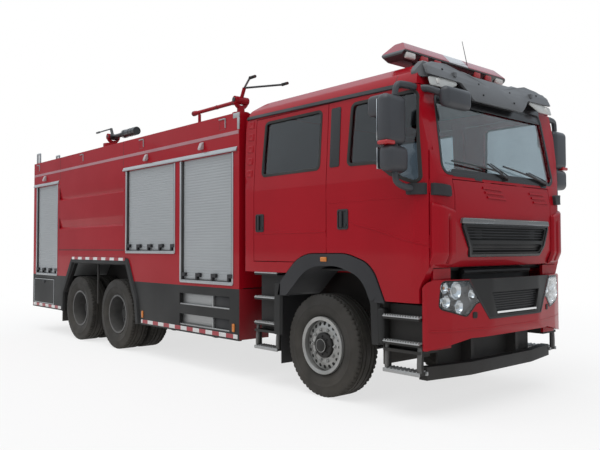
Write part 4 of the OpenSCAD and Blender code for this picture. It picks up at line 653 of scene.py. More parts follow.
def marking():
    # retro-reflective tape: red and white blocks along the truck with a fine honeycomb
    material, tree, shader = newMaterial("markingTape")
    place = objectPlace(tree)
    axes = addNode(tree, "ShaderNodeSeparateXYZ", {0: place}).outputs
    along = mathNode(tree, "ADD", axes["X"], axes["Y"])
    step = mathNode(tree, "FRACT", mathNode(tree, "DIVIDE", along, 0.30))
    block = mathNode(tree, "GREATER_THAN", step, 0.5)
    comb = addNode(tree, "ShaderNodeTexVoronoi", {"Vector": place, "Scale": 160.0}).outputs["Distance"]
    white = mixColour(tree, comb, (0.72, 0.71, 0.70), (0.5, 0.5, 0.5))
    dusted(tree, shader, mixColour(tree, block, white, (0.30, 0.010, 0.022)), (1.0, 0.25))
    feed(tree, shader, {"Roughness": 0.3})
    setBump(tree, shader, comb, 0.15, 0.0005)
    return material


def barShell():
    # light bar: red domes at both ends, a grey block in the middle, a dark base below
    material, tree, shader = newMaterial("barShell")
    axes = addNode(tree, "ShaderNodeSeparateXYZ", {0: objectPlace(tree)}).outputs
    grainOut = effect(tree, "grain", Scale=200.0, Drift=4.0)
    red = mixColour(tree, drifted(tree, grainOut), (0.30, 0.010, 0.026), (0.25, 0.008, 0.020))
    middle = ramp(tree, mathNode(tree, "ABSOLUTE", axes["Y"]), 0.168, 0.172)
    dome = mixColour(tree, middle, (0.42, 0.43, 0.45), red)
    tone = mixColour(tree, ramp(tree, axes["Z"], 3.528, 3.532), (0.020, 0.020, 0.022), dome)
    feed(tree, shader, {"Base Color": tone, "Roughness": drifted(tree, grainOut, 0.12, 0.22),
                        "Coat Weight": 0.3})
    setBump(tree, shader, grainOut["Height"], 0.04, 0.001)
    return material


barFinish = barShell()
markingTape = marking()
print("materials made:", len(bpy.data.materials))

nodeFinish = {
    redPaint: ["cab_shell", "front_flap", "bumper", "door_front_right", "door_front_left",
               "door_rear_right", "door_rear_left", "body_sides", "body_ends", "monitor_bases",
               "monitor_head", "monitor_barrel", "gun_head"],
    barFinish: ["light_bar"],
    greyPaint: ["body_skirts", "locker_right", "locker_left", "bumper_centre", "grille"],
    visorGrey: ["sun_visor"],
    blackPlastic: ["mudguards", "front_mirror", "mirror_right", "mirror_left", "wipers"],
    chassisBlack: ["chassis_frame", "front_axle", "rear_axles", "suspension", "underrun_beams", "tow_jaw",
                   "knuckle_right", "knuckle_left", "cab_steps"],
    engineGrey: ["driveline"],
    plateAlloy: ["side_tanks", "body_frame"],
    curtainAlloy: ["shutters"],
    frameAlloy: ["rear_ladder"],
    wheelSilver: ["rim_front_right", "rim_front_left"],
    wheelGrey: ["rim_mid_right", "rim_mid_left", "rim_rear_right", "rim_rear_left"],
    tyreRubber: ["tyre_front_right", "tyre_front_left", "tyre_mid_right", "tyre_mid_left",
                 "tyre_rear_right", "tyre_rear_left"],
    tintedGlass: ["glass_front_right", "glass_front_left", "glass_rear_right", "glass_rear_left"],
    screenGlass: ["cab_glass"],
    lampGlass: ["lamps"],
    trimGrey: ["cab_interior"],
    gunBlack: ["gun_barrel"],
}


def softShade():
    # joins the triangles of a solid and shades it smoothly across edges shallower than the angle
    group = bpy.data.node_groups.new("softShade", "GeometryNodeTree")
    group.interface.new_socket("Geometry", in_out="INPUT", socket_type="NodeSocketGeometry")
    group.interface.new_socket("Geometry", in_out="OUTPUT", socket_type="NodeSocketGeometry")
    start, end = group.nodes.new("NodeGroupInput"), group.nodes.new("NodeGroupOutput")
    merge = addNode(group, "GeometryNodeMergeByDistance", {"Geometry": start.outputs[0], "Distance": 1e-5})
    plain = addNode(group, "GeometryNodeRemoveAttribute",
                    {"Geometry": merge.outputs[0], "Name": "custom_normal"})
    smooth = addNode(group, "GeometryNodeSetShadeSmooth", {"Geometry": plain.outputs[0]}, domain="FACE")
    angle = addNode(group, "GeometryNodeInputMeshEdgeAngle").outputs["Unsigned Angle"]
    limit = math.radians(creases["node"])
    shallow = addNode(group, "FunctionNodeCompare", {0: angle, 1: limit}, operation="LESS_THAN")
    edges = addNode(group, "GeometryNodeSetShadeSmooth",
                    {"Geometry": smooth.outputs[0], "Shade Smooth": shallow.outputs[0]}, domain="EDGE")
    group.links.new(edges.outputs[0], end.inputs[0])
    return group


def dressNodes():
    shade = softShade()
    for material, names in nodeFinish.items():
        for name in names:
            nodes[name].data.materials.clear()
            nodes[name].data.materials.append(material)
            nodes[name].modifiers.new("shade", "NODES").node_group = shade


# fire body: trim of both sides

# rear edge, front edge, sill, latches
shutters = ((0.64, 1.84, 1.12, 4), (-0.93, 0.49, 1.50, 5), (-4.62, -3.605, 1.075, 4))
shutterTop = 2.735
bogie = float(sum(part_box(n)[k][0] for n in ("tyre_mid_right", "tyre_rear_right") for k in (0, 1)) / 4)


def bar(x0, x1, z0, z1, lift, deep=0.01, radius=0.004):
    # a straight bar on the fire body's right side
    return roundBox((x0, -bodySide - lift, z0), (x1, -bodySide + deep, z1), radius, 2)


sideTrim = {"stripe": 2.97, "rail": 2.772, "railLip": 0.024, "edge": 0.034, "proud": 0.010, "gap": 0.016}


def trimSides():
    t = sideTrim
    ends = [(wall["tail"] + 0.01, t["stripe"]), (wall["front"] - 0.01, t["stripe"])]
    stripe = ribbon(ends, 0.050, 0.004, onBody)
    piece("bodyStripe", bothSides(stripe), "truck", stripeTape)
    y, z, out = -bodySide, t["rail"], t["railLip"]
    lip = [(y + 0.004, z - 0.03), (y - out, z - 0.03), (y - out, z - 0.016), (y - 0.008, z + 0.022),
           (y + 0.004, z + 0.028)]
    rails = [prism(lip, "yz", x0, x1) for x0, x1 in ((-1.02, 1.93), (-4.76, -3.55))]
    piece("shutterRails", bothSides(*rails), "truck", frameAlloy, bevel=0.003)
    silver, dark, latches = [], [], []
    for x0, x1, low, count in shutters:
        inner = x0 + t["edge"]
        silver += [bar(x0 - 0.014, inner - 0.012, low, shutterTop, t["proud"]),
                   bar(x1 - 0.016, x1 + 0.012, low, shutterTop, t["proud"]),
                   bar(x0, x1, low - 0.014, low + 0.026, t["proud"] + 0.004)]
        dark += [bar(inner - 0.012, inner + t["gap"], low + 0.03, shutterTop, 0.002, 0.03),
                 bar(x1 - 0.034, x1 - 0.016, low + 0.03, shutterTop, 0.002, 0.03),
                 bar(x0 + 0.03, x1 - 0.03, low + 0.024, low + 0.036, 0.004, 0.02)]
        spots = x0 + 0.035 + (x1 - x0 - 0.13) * np.arange(count) / (count - 1)
        latches.append(hooks(spots, low + 0.03))
    piece("shutterFrames", bothSides(*silver), "truck", frameAlloy)
    piece("shutterSeals", bothSides(*dark), "truck", rubber)
    piece("shutterLatches", bothSides(*latches), "truck", blackPlastic, bevel=0.005)


curtain = {"pitch": 0.036, "groove": 0.0014, "deep": 0.020}


def curtainSheet(a0, a1, low, place):
    # slats: flat for most of their height, with a narrow rounded furrow at every pitch
    c = curtain
    count = int(round((shutterTop - low) / c["pitch"]))
    rise = np.array([0.0, 0.08, 0.5, 0.92])
    fall = np.array([1.0, 0.0, 0.0, 0.0])
    z = (low + (shutterTop - low) * (np.arange(count)[:, None] + rise) / count).ravel()
    z = np.append(z, shutterTop)
    h = -c["deep"] - c["groove"] * np.append(np.tile(fall, count), 1.0)
    across = np.linspace(a0, a1, 5)
    front = place(np.tile(across, (len(z), 1)), z[:, None] + 0 * across, h[:, None] + 0 * across)
    back = place(np.tile(across, (len(z), 1)), z[:, None] + 0 * across, h[:, None] - 0.006 + 0 * across)
    faces = gridFaces(len(z), 5)
    points = np.concatenate([front.reshape(-1, 3), back.reshape(-1, 3)])
    return points, faces.tolist() + [f[::-1] for f in (faces + 5 * len(z)).tolist()]


def makeCurtains():
    # slatted curtains in place of the plain ones, a hair inside their frames
    sides = [curtainSheet(x0 + 0.002, x1 - 0.002, low + 0.002, onBody) for x0, x1, low, _ in shutters]
    rear = curtainSheet(-tail["half"] + 0.002, tail["half"] - 0.002, tail["low"] + 0.002, onTail)
    shape = together(bothSides(*sides), rear)
    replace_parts(piece("curtains", shape, "truck", curtainAlloy), "shutters")


def hooks(spots, low):
    # hooked latch outline carried through the curtain's face, one at each spot
    rows = np.array([(0, 0), (0.34, 0), (0.34, 0.5), (1, 0.5), (1, 1), (0, 1)]) * (0.105, 0.095) - 0.004
    one = prism(rows, "xz", -bodySide - 0.018, -bodySide + 0.02)
    return repeat(one, spread(spots, 0, low))


pocket = {"spots": (-4.57, -2.57, -0.46, 1.62), "z": 3.10, "half": 0.068, "lampSpots": (-4.19, -0.29, 1.17),
          "lampZ": 2.875}
# path, width, height
bodySeams = ((((-3.50, 2.81), (-3.50, 3.2)), 0.010, 0.0008), (((-1.03, 2.81), (-1.03, 3.2)), 0.010, 0.0008),
             (((-3.53, 1.535), (-0.99, 1.535)), 0.016, 0.001),
             (((-3.51, 1.08), (-3.51, 2.72)), 0.008, 0.0008))


def trimUpperBand():
    h = pocket["half"]
    plates, hatchHighlights, lamps = [], [], []
    levels = [(1, -0.004), (0.98, 0.002), (0.9, 0.002), (0.86, -0.0005), (0.4, -0.0005)]
    for x in pocket["spots"]:
        z = pocket["z"]
        # painted shade: each hatch is a nearly flat pad in a deeper red for the shade of its recess
        plates.append(pad(rect(x - h, x + h, z - h, z + h, 0.012), levels, onBody))
        # painted highlights: silver strips along each hatch's top edge and down its right edge
        hatchHighlights.append(ribbon([(x - h, z + h), (x + h, z + h)], 0.016, 0.012, onBody))
        hatchHighlights.append(ribbon([(x + h, z + h), (x + h, z - 0.7 * h)], 0.014, 0.012, onBody))
    for x in pocket["lampSpots"]:
        y, z = -bodySide, pocket["lampZ"]
        rows = [(y + 0.004, z + 0.062), (y - 0.030, z + 0.050), (y - 0.062, z - 0.030),
                (y - 0.050, z - 0.048), (y + 0.004, z - 0.030)]
        lamps.append(prism(rows, "yz", x - 0.03, x + 0.03))
    piece("pocketPlates", bothSides(*plates), "truck", redDeep)
    piece("pocketHighlights", bothSides(*hatchHighlights), "truck", frameAlloy)
    piece("sideWorkLamps", bothSides(*lamps), "truck", lampShell, bevel=0.008)
    corner = together(bar(1.845, 1.972, 3.145, 3.208, 0.004), bar(1.93, 1.972, 3.0, 3.15, 0.004))
    piece("cornerAngles", bothSides(corner), "truck", plateAlloy)
    x = wall["front"]
    ends = roundBox((x - 0.002, -bodySide + 0.004, 0.46), (x + 0.006, -0.80, 1.068), 0.003, 2)
    piece("skirtEnds", bothSides(ends), "truck", redDeep)
    piece("panelSeams", bothSides(*ribbons(bodySeams, onBody)), "truck", rubber)


tapes = {"z": 0.497, "width": 0.062, "archZ": 1.392, "tailZ": 1.097}
skirtSlots = ((0.54, 0.69), (0.81, 0.965))  # lower and upper edge
# the box, the legs and the first liners count from the front axle, the rest from the middle of the bogie
arch = {"legs": ((((-0.640, 1.17), (-0.650, 0.98), (-0.652, 0.60)), 0.13, 0.0),
                 (((0.765, 1.13), (0.80, 1.02), (0.815, 0.64)), 0.12, -0.004)),
        "box": ((0.765, -1.244, 0.645), (0.912, -1.13, 1.0)),
        "frontLiners": (((-0.62, -0.52, 0.80), (0.88, -0.50, 1.28)),
                        ((0.875, -1.20, 0.46), (0.89, -0.50, 1.15))),
        "rearLiners": (((-1.33, -0.575, 0.95), (1.33, -0.565, 1.37)),
                       ((-1.375, -1.20, 0.70), (-1.36, -0.57, 1.36))),
        "flare": ((-1.345, 0.452), (-1.325, 0.79), (-0.925, 1.36), (1.09, 1.36), (1.385, 0.79),
                  (1.44, 0.452)),
        "tape": (-0.9, 1.06), "mudflap": ((-1.418, -1.235, 0.26), (-1.40, -0.62, 0.86)),
        "midFlap": ((-0.014, -1.225, 0.66), (0.014, -1.195, 1.31))}


def trimSkirt():
    strips = [ribbon([(x0, tapes["z"]), (x1, tapes["z"])], tapes["width"], 0.003, onBody)
              for x0, x1 in ((-0.44, 1.94), (-4.77, -3.40))]
    back = ribbon([(-1.185, tapes["tailZ"]), (1.185, tapes["tailZ"])], tapes["width"] / 2, 0.003, onTail)
    piece("markingStrips", together(bothSides(*strips), back), "truck", markingTape)
    flare = ribbon(fromAxle(arch["flare"], bogie), 0.105, 0.03, onBody)
    piece("rearFlares", bothSides(flare), "truck", flareGrey, bevel=0.006)
    path = [(bogie + x, tapes["archZ"]) for x in arch["tape"]]
    strip = ribbon(path, 0.05, 0.034, onBody, sink=-0.02)
    piece("archStrips", bothSides(strip), "truck", markingTape)
    amber = [roundBox((x - a, -bodySide - 0.014, z - b), (x + a, -bodySide + 0.004, z + b), 0.008)
             for x, z, a, b in ((-0.40, 0.60, 0.024, 0.05), (1.86, 0.60, 0.024, 0.05),
                                (frontAxle + 0.113, 1.446, 0.045, 0.024))]
    piece("sideMarkers", bothSides(*amber), "truck", amberLens)
    black = [bar(1.40, 1.768, z0 + 0.004, z1 - 0.004, -0.034, 0.045) for z0, z1 in skirtSlots]
    piece("slotCovers", bothSides(*black), "truck", blackPlastic)
    lips = [bar(0.622, 1.768, z0, z0 + 0.018, -0.006, 0.03) for z0, _ in skirtSlots]
    lips += [bar(1.385, 1.402, z0, z1, -0.01, 0.045) for z0, z1 in skirtSlots]
    piece("slotLips", bothSides(*lips), "truck", plateAlloy)
    legs = [ribbon(fromAxle(path), width, lift, onBody, sink=0.03) for path, width, lift in arch["legs"]]
    liners = [roundBox(*fromAxle(rows), 0.004, 2) for rows in arch["frontLiners"]]
    liners += [roundBox(*fromAxle(rows, bogie), 0.004, 2) for rows in arch["rearLiners"]]
    piece("archLiners", bothSides(*liners), "truck", rubber)
    piece("frontArchLegs", bothSides(*legs), "truck", flareGrey, bevel=0.008)
    box = roundBox(*fromAxle(arch["box"]), 0.035, 5)
    piece("archBoxes", bothSides(box), "truck", flareGrey)
    flaps = [roundBox(*fromAxle(arch["mudflap"], bogie), 0.006),
             roundBox(*fromAxle(arch["midFlap"], bogie), 0.008)]
    piece("rearMudflaps", bothSides(*flaps), "truck", rubber)


locker = {"x0": -4.722, "x1": -3.738, "z0": 0.528, "z1": 0.997, "back": -0.72, "sheet": 0.012}


def trimLockers():
    k = locker
    rows = rect(k["x0"] + 0.012, k["x1"] - 0.012, k["z0"] + 0.012, k["z1"] - 0.012, 0.02)
    frameRing = ribbon(outline(rows), 0.014, 0.004, onBody, closed=True)
    x = (k["x0"] + k["x1"]) / 2
    catch = roundBox((x - 0.05, -bodySide - 0.012, k["z1"] - 0.085),
                     (x + 0.05, -bodySide + 0.006, k["z1"] - 0.035), 0.008)
    x0, x1, z0, z1, t = k["x0"] - 0.003, k["x1"] + 0.003, k["z0"] - 0.018, k["z1"] + 0.006, k["sheet"]
    walls = [roundBox((x0 - t, -bodySide + 0.062, z0 - t), (x1 + t, k["back"], z0), 0.003, 2),
             roundBox((x0 - t, -bodySide + 0.035, z1), (x1 + t, k["back"], z1 + t), 0.003, 2),
             roundBox((x0 - t, -bodySide + 0.035, z0), (x0, k["back"], z1), 0.003, 2),
             roundBox((x1, -bodySide + 0.035, z0), (x1 + t, k["back"], z1), 0.003, 2),
             roundBox((x0 - t, k["back"], z0 - t), (x1 + t, k["back"] + t, z1 + t), 0.003, 2)]
    piece("lockerBoxes", bothSides(*walls), "truck", plateAlloy)
    for side in ("right", "left"):
        body = "locker_door_" + side
        piece("lockerTrim." + side, oneSide(frameRing, side), body, frameAlloy)
        piece("lockerCatch." + side, oneSide(catch, side), body, blackPlastic)


tail = {"half": 0.72, "low": 1.13, "lampY": 0.96, "lampZ": 0.55, "lampW": 0.20, "lampH": 0.13,
        "beaconY": 0.86, "beacon": (2.80, 2.86)}


def trimTail():
    x = wall["tail"]
    h, low = tail["half"], tail["low"]
    frames = [roundBox((x - 0.012, -h - 0.014, low), (x + 0.01, -h + 0.024, shutterTop), 0.004, 2),
              roundBox((x - 0.012, h - 0.024, low), (x + 0.01, h + 0.014, shutterTop), 0.004, 2),
              roundBox((x - 0.016, -h, low - 0.014), (x + 0.01, h, low + 0.026), 0.004, 2),
              roundBox((x - 0.024, -h - 0.03, shutterTop + 0.01), (x + 0.01, h + 0.03, shutterTop + 0.05),
                       0.006, 2)]
    piece("tailFrame", together(*frames), "truck", frameAlloy)
    rows = np.array([(0, 0), (0.36, 0), (0.36, 0.36), (1, 0.36), (1, 1), (0, 1)]) * (-0.105, 0.095)
    spots = h - 0.033 - (2 * h - 0.13) * np.arange(5) / 4
    one = prism(rows, "yz", x - 0.016, x + 0.02)
    hooksBack = repeat(one, spread(0, spots, low + 0.028))
    piece("tailLatches", hooksBack, "truck", blackPlastic, bevel=0.005)
    y0, z0, w, hh = tail["lampY"] - tail["lampW"] / 2, tail["lampZ"], tail["lampW"], tail["lampH"]
    base = roundBox((x - 0.012, y0 - 0.008, z0 - 0.008), (x + 0.04, y0 + w + 0.008, z0 + hh + 0.008), 0.01)
    piece("tailLampBase", bothSides(base), "truck", blackPlastic)
    # name, lens, and the two ends as shares of the lamp's width
    lenses = (("tailLampRed", redLens, 0.0, 0.42), ("tailLampAmber", amberLens, 0.44, 0.74),
              ("tailLampClear", clearLens, 0.76, 1.0))
    for name, material, a, b in lenses:
        block = roundBox((x - 0.022, y0 + a * w, z0), (x, y0 + b * w, z0 + hh), 0.012)
        piece(name, bothSides(block), "truck", material)
    z0, z1 = tail["beacon"]
    high = [roundBox((x - 0.02, y - 0.05, z0), (x, y + 0.05, z1), 0.012)
            for y in (-tail["beaconY"], tail["beaconY"])]
    piece("tailBeacons", together(*high), "truck", redLens)
    plate = roundBox((x - 0.006, 0.04, 0.545), (x + 0.004, 0.56, 0.685), 0.004)  # stands on the rear beam
    stay = roundBox((x + 0.002, 0.24, 0.54), (x + 0.024, 0.36, 0.655), 0.005)
    piece("plateStay", stay, "truck", chassisBlack)
    piece("numberPlateBlank", plate, "truck", plateWhite)


# cab: rubber, handles and small mouldings of the doors and walls

doorWindows = {"front": ((0.445, 2.395, 0.05), (0.825, 2.385, 0.12), (1.010, 2.255, 0.12),
                         (1.290, 2.160, 0.06), (1.345, 2.190, 0.04), (1.310, 3.010, 0.07),
                         (0.480, 3.010, 0.06)),
               "rear": ((-0.940, 2.395, 0.05), (0.025, 2.395, 0.05), (0.035, 3.010, 0.05),
                        (-0.905, 3.010, 0.05))}
handles = {"front": (0.318, 0.130), "rear": (-1.035, 0.130)}  # rear edge from the front axle, width
handleLow = 1.755
# path from the front axle, width, height
doorMarks = {"front": ((((0.50, 1.815), (0.734, 1.758), (1.126, 1.656), (1.395, 1.590)), 0.024, 0.0035),
                       (((0.16, 2.03), (1.39, 2.03)), 0.020, 0.0018)),
             "rear": ((((-1.07, 1.735), (0.13, 1.735)), 0.030, 0.0035),)}


def trimDoors():
    for end in ("front", "rear"):
        seal = ribbon(outline(fromAxle(doorWindows[end])), 0.036, 0.005, onCab, closed=True)
        x, w = frontAxle + handles[end][0], handles[end][1]
        z0, z1 = handleLow - 0.008, handleLow + 0.20
        levels = [(1, -0.004), (0.98, 0.007), (0.9, 0.009), (0.82, 0.009), (0.78, -0.006), (0.3, -0.008)]
        bezel = pad(rect(x - 0.012, x + w + 0.012, z0, z1, 0.022), levels, onCab)
        grip = roundBox((x + 0.028, -cabSide - 0.022, z0 + 0.022),
                        (x + 0.066, -cabSide - 0.004, z1 - 0.022), 0.012)
        hollow = roundBox((x - 0.004, -cabSide - 0.001, z0 + 0.004),
                          (x + w + 0.004, -cabSide + 0.03, z1 - 0.004), 0.006)
        lock = lathe([(0.0, 0.012), (0.013, 0.012), (0.015, 0.0)], (x + w - 0.024, -cabSide, z0 + 0.05),
                     side=-1, steps=20)
        marks = ribbons([(fromAxle(path), width, lift) for path, width, lift in doorMarks[end]], onCab)
        for side in ("right", "left"):
            body = end + "_door_" + side
            piece(end + "WindowSeal." + side, oneSide(seal, side), body, rubber)
            handle = oneSide(together(bezel, grip, lock, hollow), side)
            piece(end + "Handle." + side, handle, body, blackPlastic)
            piece(end + "DoorCrease." + side, oneSide(together(*marks), side), body, redPaint)


linings = {"front": ((3.54, 1.87, 0.04), (4.08, 1.60, 0.06), (4.34, 1.34, 0.04), (4.55, 1.34, 0.04),
                     (4.55, 2.11, 0.05), (3.54, 2.11, 0.05)),
           "rear": ((2.36, 1.48, 0.05), (2.96, 1.50, 0.06), (3.38, 1.83, 0.05), (3.38, 2.11, 0.05),
                    (2.36, 2.11, 0.05)),
           "rest": {"front": (3.66, 4.24), "rear": (2.48, 3.10)}, "inner": 1.17}


def onLining(u, v, h):
    # inner face of a closed right door, heights counted inward
    return np.stack([u + 0 * h, h - linings["inner"], v + 0 * h], -1)


def trimLinings():
    for end in ("front", "rear"):
        levels = [(1, -0.004), (0.99, 0.008), (0.96, 0.012), (0.82, 0.012), (0.79, 0.008), (0.3, 0.008)]
        board = pad(linings[end], levels, onLining)
        a, b = linings["rest"][end]
        y, z = -linings["inner"], 2.03
        rest = roundBox((a, y, 1.915), (b, y + 0.058, 1.965), 0.02, 4)
        bow = [(b - 0.16, y, z), (b - 0.15, y + 0.034, z), (b - 0.03, y + 0.034, z), (b - 0.02, y, z)]
        pull = tube(smoothPath(bow), 0.010)
        for side in ("right", "left"):
            body = end + "_door_" + side
            piece(end + "Lining." + side, oneSide(together(board, rest), side), body, trimGrey)
            piece(end + "Pull." + side, oneSide(pull, side), body, blackPlastic)


def trimFrontDoors():
    strip = pad(fromAxle(rect(0.185, 0.325, 2.39, 3.012, 0.02)),
                [(1, -0.004), (0.99, 0.005), (0.9, 0.006), (0.2, 0.006)], onCab)
    block = pad(fromAxle([(1.225, 2.045, 0.02), (1.392, 2.045, 0.006), (1.392, 2.15, 0.006),
                          (1.225, 2.15, 0.02)]),
                [(1, -0.004), (0.99, 0.034), (0.94, 0.040), (0.2, 0.040)], onCab)
    for side in ("right", "left"):
        piece("doorStrip." + side, oneSide(strip, side), "front_door_" + side, glossBlack)
        piece("doorBlock." + side, oneSide(block, side), "front_door_" + side, blackPlastic)
    end = pad([(-1.150, 2.04, 0.006), (-0.95, 2.028, 0.02), (-0.95, 2.135, 0.02), (-1.150, 2.15, 0.006)],
              [(1, -0.004), (0.98, 0.030), (0.92, 0.036), (0.2, 0.036)], onNose)
    piece("cornerBlocks", bothSides(end), "truck", blackPlastic)


def trimCabWalls():
    path = fromAxle([(-1.27, 3.118), (0.2, 3.100), (1.12, 3.085), (1.235, 3.05)])
    gutter = ribbon(path, 0.052, 0.022, onCab)
    piece("gutters", bothSides(gutter), "truck", blackPlastic)
    x0, x1 = frontAxle - 1.235, frontAxle - 1.125
    vents = [pad(rect(x0, x1, z - 0.04, z + 0.05, 0.012),
                 [(1, -0.003), (0.94, 0.004), (0.7, 0.009), (0.3, 0.004)], onCab)
             for z in 2.44 + 0.145 * np.arange(5)]
    piece("rearPostVents", bothSides(*vents), "truck", redPaint)
    seam = ribbon(fromAxle([(1.02, 3.12), (1.02, 3.20)]), 0.008, 0.001, onCab)
    piece("roofSeams", bothSides(seam), "truck", rubber)


# nose: windscreen surround, grille, deflectors, louvres, visor and lamps

# the shade row is partly the windscreen's black top band and partly painted shade: a dark pad reaching up
# over the red header where the visor's underside shadows it
screen = {"seal": ((-1.010, 2.252, 0.09), (1.010, 2.252, 0.09), (0.960, 3.028, 0.09), (-0.960, 3.028, 0.09)),
          "shade": ((-0.95, 2.935, 0.03), (0.95, 2.935, 0.03), (1.0, 3.19, 0.03), (-1.0, 3.19, 0.03)),
          "cowl": ((-0.86, 2.228, 0.01), (0.86, 2.228, 0.01), (0.88, 2.30, 0.03), (-0.88, 2.30, 0.03))}


def trimScreen():
    seal = ribbon(outline(screen["seal"], 10), 0.034, 0.005, onNose, closed=True)
    # painted shade: the dark pad under the visor, over the windscreen's black top band
    shade = pad(screen["shade"], [(1, -0.002), (0.99, 0.003), (0.6, 0.003)], onNose, 3)
    cowl = pad(screen["cowl"], [(1, -0.004), (0.99, 0.003), (0.5, 0.003)], onNose, 3)
    piece("screenSeal", together(seal, shade, cowl), "truck", glossBlack)


grille = {"top": 1.795, "low": 1.478, "topHalf": 0.806, "lowHalf": 0.65, "proud": 0.010,
          "slots": ((0.13, 0.37), (0.49, 0.88))}


def grilleBand(a, b, inset):
    # corners of a band between two shares of the grille's height, drawn in at both ends
    g = grille
    z = g["low"] + (g["top"] - g["low"]) * np.array([a, b])
    half = g["lowHalf"] + (g["topHalf"] - g["lowHalf"]) * np.array([a, b]) - inset
    return [(-half[0], z[0], 0.02), (half[0], z[0], 0.02), (half[1], z[1], 0.02), (-half[1], z[1], 0.02)]


def trimGrille():
    g = grille
    lift = g["proud"]
    rim = ribbon(outline(grilleBand(0.03, 0.97, 0.02)), 0.034, lift + 0.010, onNose, closed=True)
    piece("grilleRim", rim, "service_flap", glossBlack)
    band = pad([(-0.805, 1.790, 0.01), (0.805, 1.790, 0.01), (0.790, 1.842, 0.02), (-0.790, 1.842, 0.02)],
               [(1, -0.004), (0.995, lift + 0.012), (0.97, lift + 0.018), (0.2, lift + 0.018)], onNose, 4)
    piece("grilleBand", band, "service_flap", chromeDark)
    nets, fins = [], []
    for a, b in g["slots"]:
        nets.append(pad(grilleBand(a + 0.01, b - 0.01, 0.066), [(1, -0.021), (0.5, -0.0205)], onNose, 3))
        for s in np.linspace(a + 0.08, b - 0.05, 2 if b - a < 0.3 else 4):
            row = grilleBand(s, s + 0.02, 0.068)
            fins.append(ribbon([row[0][:2], row[1][:2]], 0.010, -0.006, onNose, sink=0.021))
    piece("grilleNets", together(*nets), "service_flap", netBlack, smooth=False)
    piece("grilleFins", together(*fins), "service_flap", blackPlastic)


def trimFlap():
    ribs = []
    for y0, y1, z0, tilt in ((-0.40, -0.08, 2.145, -0.008), (0.46, 0.74, 2.130, 0.0)):
        for k in range(3):
            z = z0 - 0.045 * k
            ribs.append(ribbon([(y0 + 0.03 * k, z), (y1 + 0.03 * k, z + tilt)], 0.026, 0.011, onNose))
    piece("flapLouvres", together(*ribs), "service_flap", redPaint)
    notches = [pad([(y - 0.065, 2.208, 0.02), (y + 0.065, 2.208, 0.02), (y + 0.065, 2.262, 0.005),
                    (y - 0.065, 2.262, 0.005)],
                   [(1, -0.002), (0.95, 0.003), (0.4, 0.004)], onNose) for y in (-0.447, 0.79)]
    piece("spindleCovers", together(*notches), "truck", glossBlack)


deflector = {"low": 1.39, "top": 1.985, "proud": 0.034, "inner": 0.885, "slot": (0.60, 0.76)}


def trimCorners():
    # a skin laid round the cab's corner: out along the plan curve by a height that falls to nothing
    # at every edge, with an upright slot pressed back into it
    d = deflector
    s, t = np.meshgrid(np.linspace(0, 1, 49), np.linspace(0, 1, 41), indexing="ij")
    arc = np.radians(50 + 36.6 * np.clip(s / 0.55, 0, 1))
    inward = np.clip((s - 0.55) / 0.45, 0, 1) * (1.0142 - d["inner"])
    y = wall["cornerY"] + wall["corner"] * np.cos(arc) - inward
    x = wall["cornerX"] + wall["corner"] * np.sin(arc) + 0.059 * inward
    z = d["low"] + t * (d["top"] - 0.07 * s - d["low"])
    edge = np.minimum(np.minimum(s, 1 - s) / 0.06, np.minimum(t, 1 - t) / 0.045)
    slot = np.clip(np.minimum(s - d["slot"][0], d["slot"][1] - s) / 0.05, 0, 1)
    slot = slot * np.clip((0.86 - t) / 0.05, 0, 1)
    rise = d["proud"] * np.sqrt(np.clip(edge, 0, 1)) * (1 - 0.75 * slot * (t > 0.06)) - 0.004
    # the lower part follows the chin
    back = np.clip(0.036 - np.interp(z, [1.38, 1.5, 1.62], [0.09, 0.036, 0.0]), -0.06, 0)
    points = np.stack([x + rise * np.sin(arc) + back, -(y + rise * np.cos(arc)), z], -1).reshape(-1, 3)
    skin = (points, gridFaces(49, 41).tolist())
    piece("cornerDeflectors", bothSides(skin), "truck", redPaint)


visor = {"face": ((-1.12, 3.16, 0.02), (-0.62, 3.152, 0.06), (-0.45, 3.0, 0.06), (0.45, 3.0, 0.06),
                  (0.62, 3.152, 0.06), (1.12, 3.16, 0.02), (1.115, 3.262, 0.03), (0.95, 3.322, 0.08),
                  (0.72, 3.34, 0.10), (0.42, 3.272, 0.15), (-0.42, 3.272, 0.15), (-0.72, 3.34, 0.10),
                  (-0.95, 3.322, 0.08), (-1.115, 3.262, 0.03)),
         "panel": ((-1.105, 3.055, 0.02), (-0.84, 3.055, 0.03), (-0.60, 3.148, 0.02), (-0.85, 3.170, 0.05),
                   (-1.105, 3.140, 0.02)),
         "marker": (-0.99, 3.105),
         "screws": ((-0.86, 3.25), (-0.30, 3.19), (-0.27, 3.08), (0.27, 3.19), (0.30, 3.08), (0.86, 3.25))}


def trimVisor():
    face = pad(visor["face"], [(1, -0.018), (1, 0.004), (0.99, 0.009), (0.97, 0.010), (0.2, 0.010)],
               onVisor)
    piece("visorFace", face, "truck", visorGrey)
    panel = pad(visor["panel"], [(1, -0.020), (0.99, -0.010), (0.9, -0.006), (0.3, -0.004)], onVisor)
    piece("visorLampPanels", bothSides(panel), "truck", panelWhite)
    at = onVisor(*visor["marker"], -0.004)
    mark = lathe([(0.0, 0.012), (0.022, 0.010), (0.03, 0.0)], at, "x", steps=24)
    piece("visorMarkers", bothSides(mark), "truck", clearLens)
    domes = [lathe([(0.0, 0.006), (0.009, 0.004), (0.012, -0.008)], onVisor(y, z, 0.010), "x", steps=16)
             for y, z in visor["screws"]]
    piece("visorScrews", together(*domes), "truck", hubDark)


lampRows = ((-1.075, 1.010, 0.05), (-0.76, 0.925, 0.05), (-0.643, 1.041, 0.04), (-0.587, 1.055, 0.01),
            (-0.7305, 1.258, 0.03), (-1.047, 1.258, 0.05))
# y, z, radius, lens
lampBowls = ((-1.008, 1.196, 0.050, "amber"), (-0.880, 1.170, 0.078, "clear"),
             (-0.990, 1.070, 0.056, "clear"), (-0.845, 1.020, 0.058, "clear"),
             (-0.690, 1.125, 0.048, "clear"))


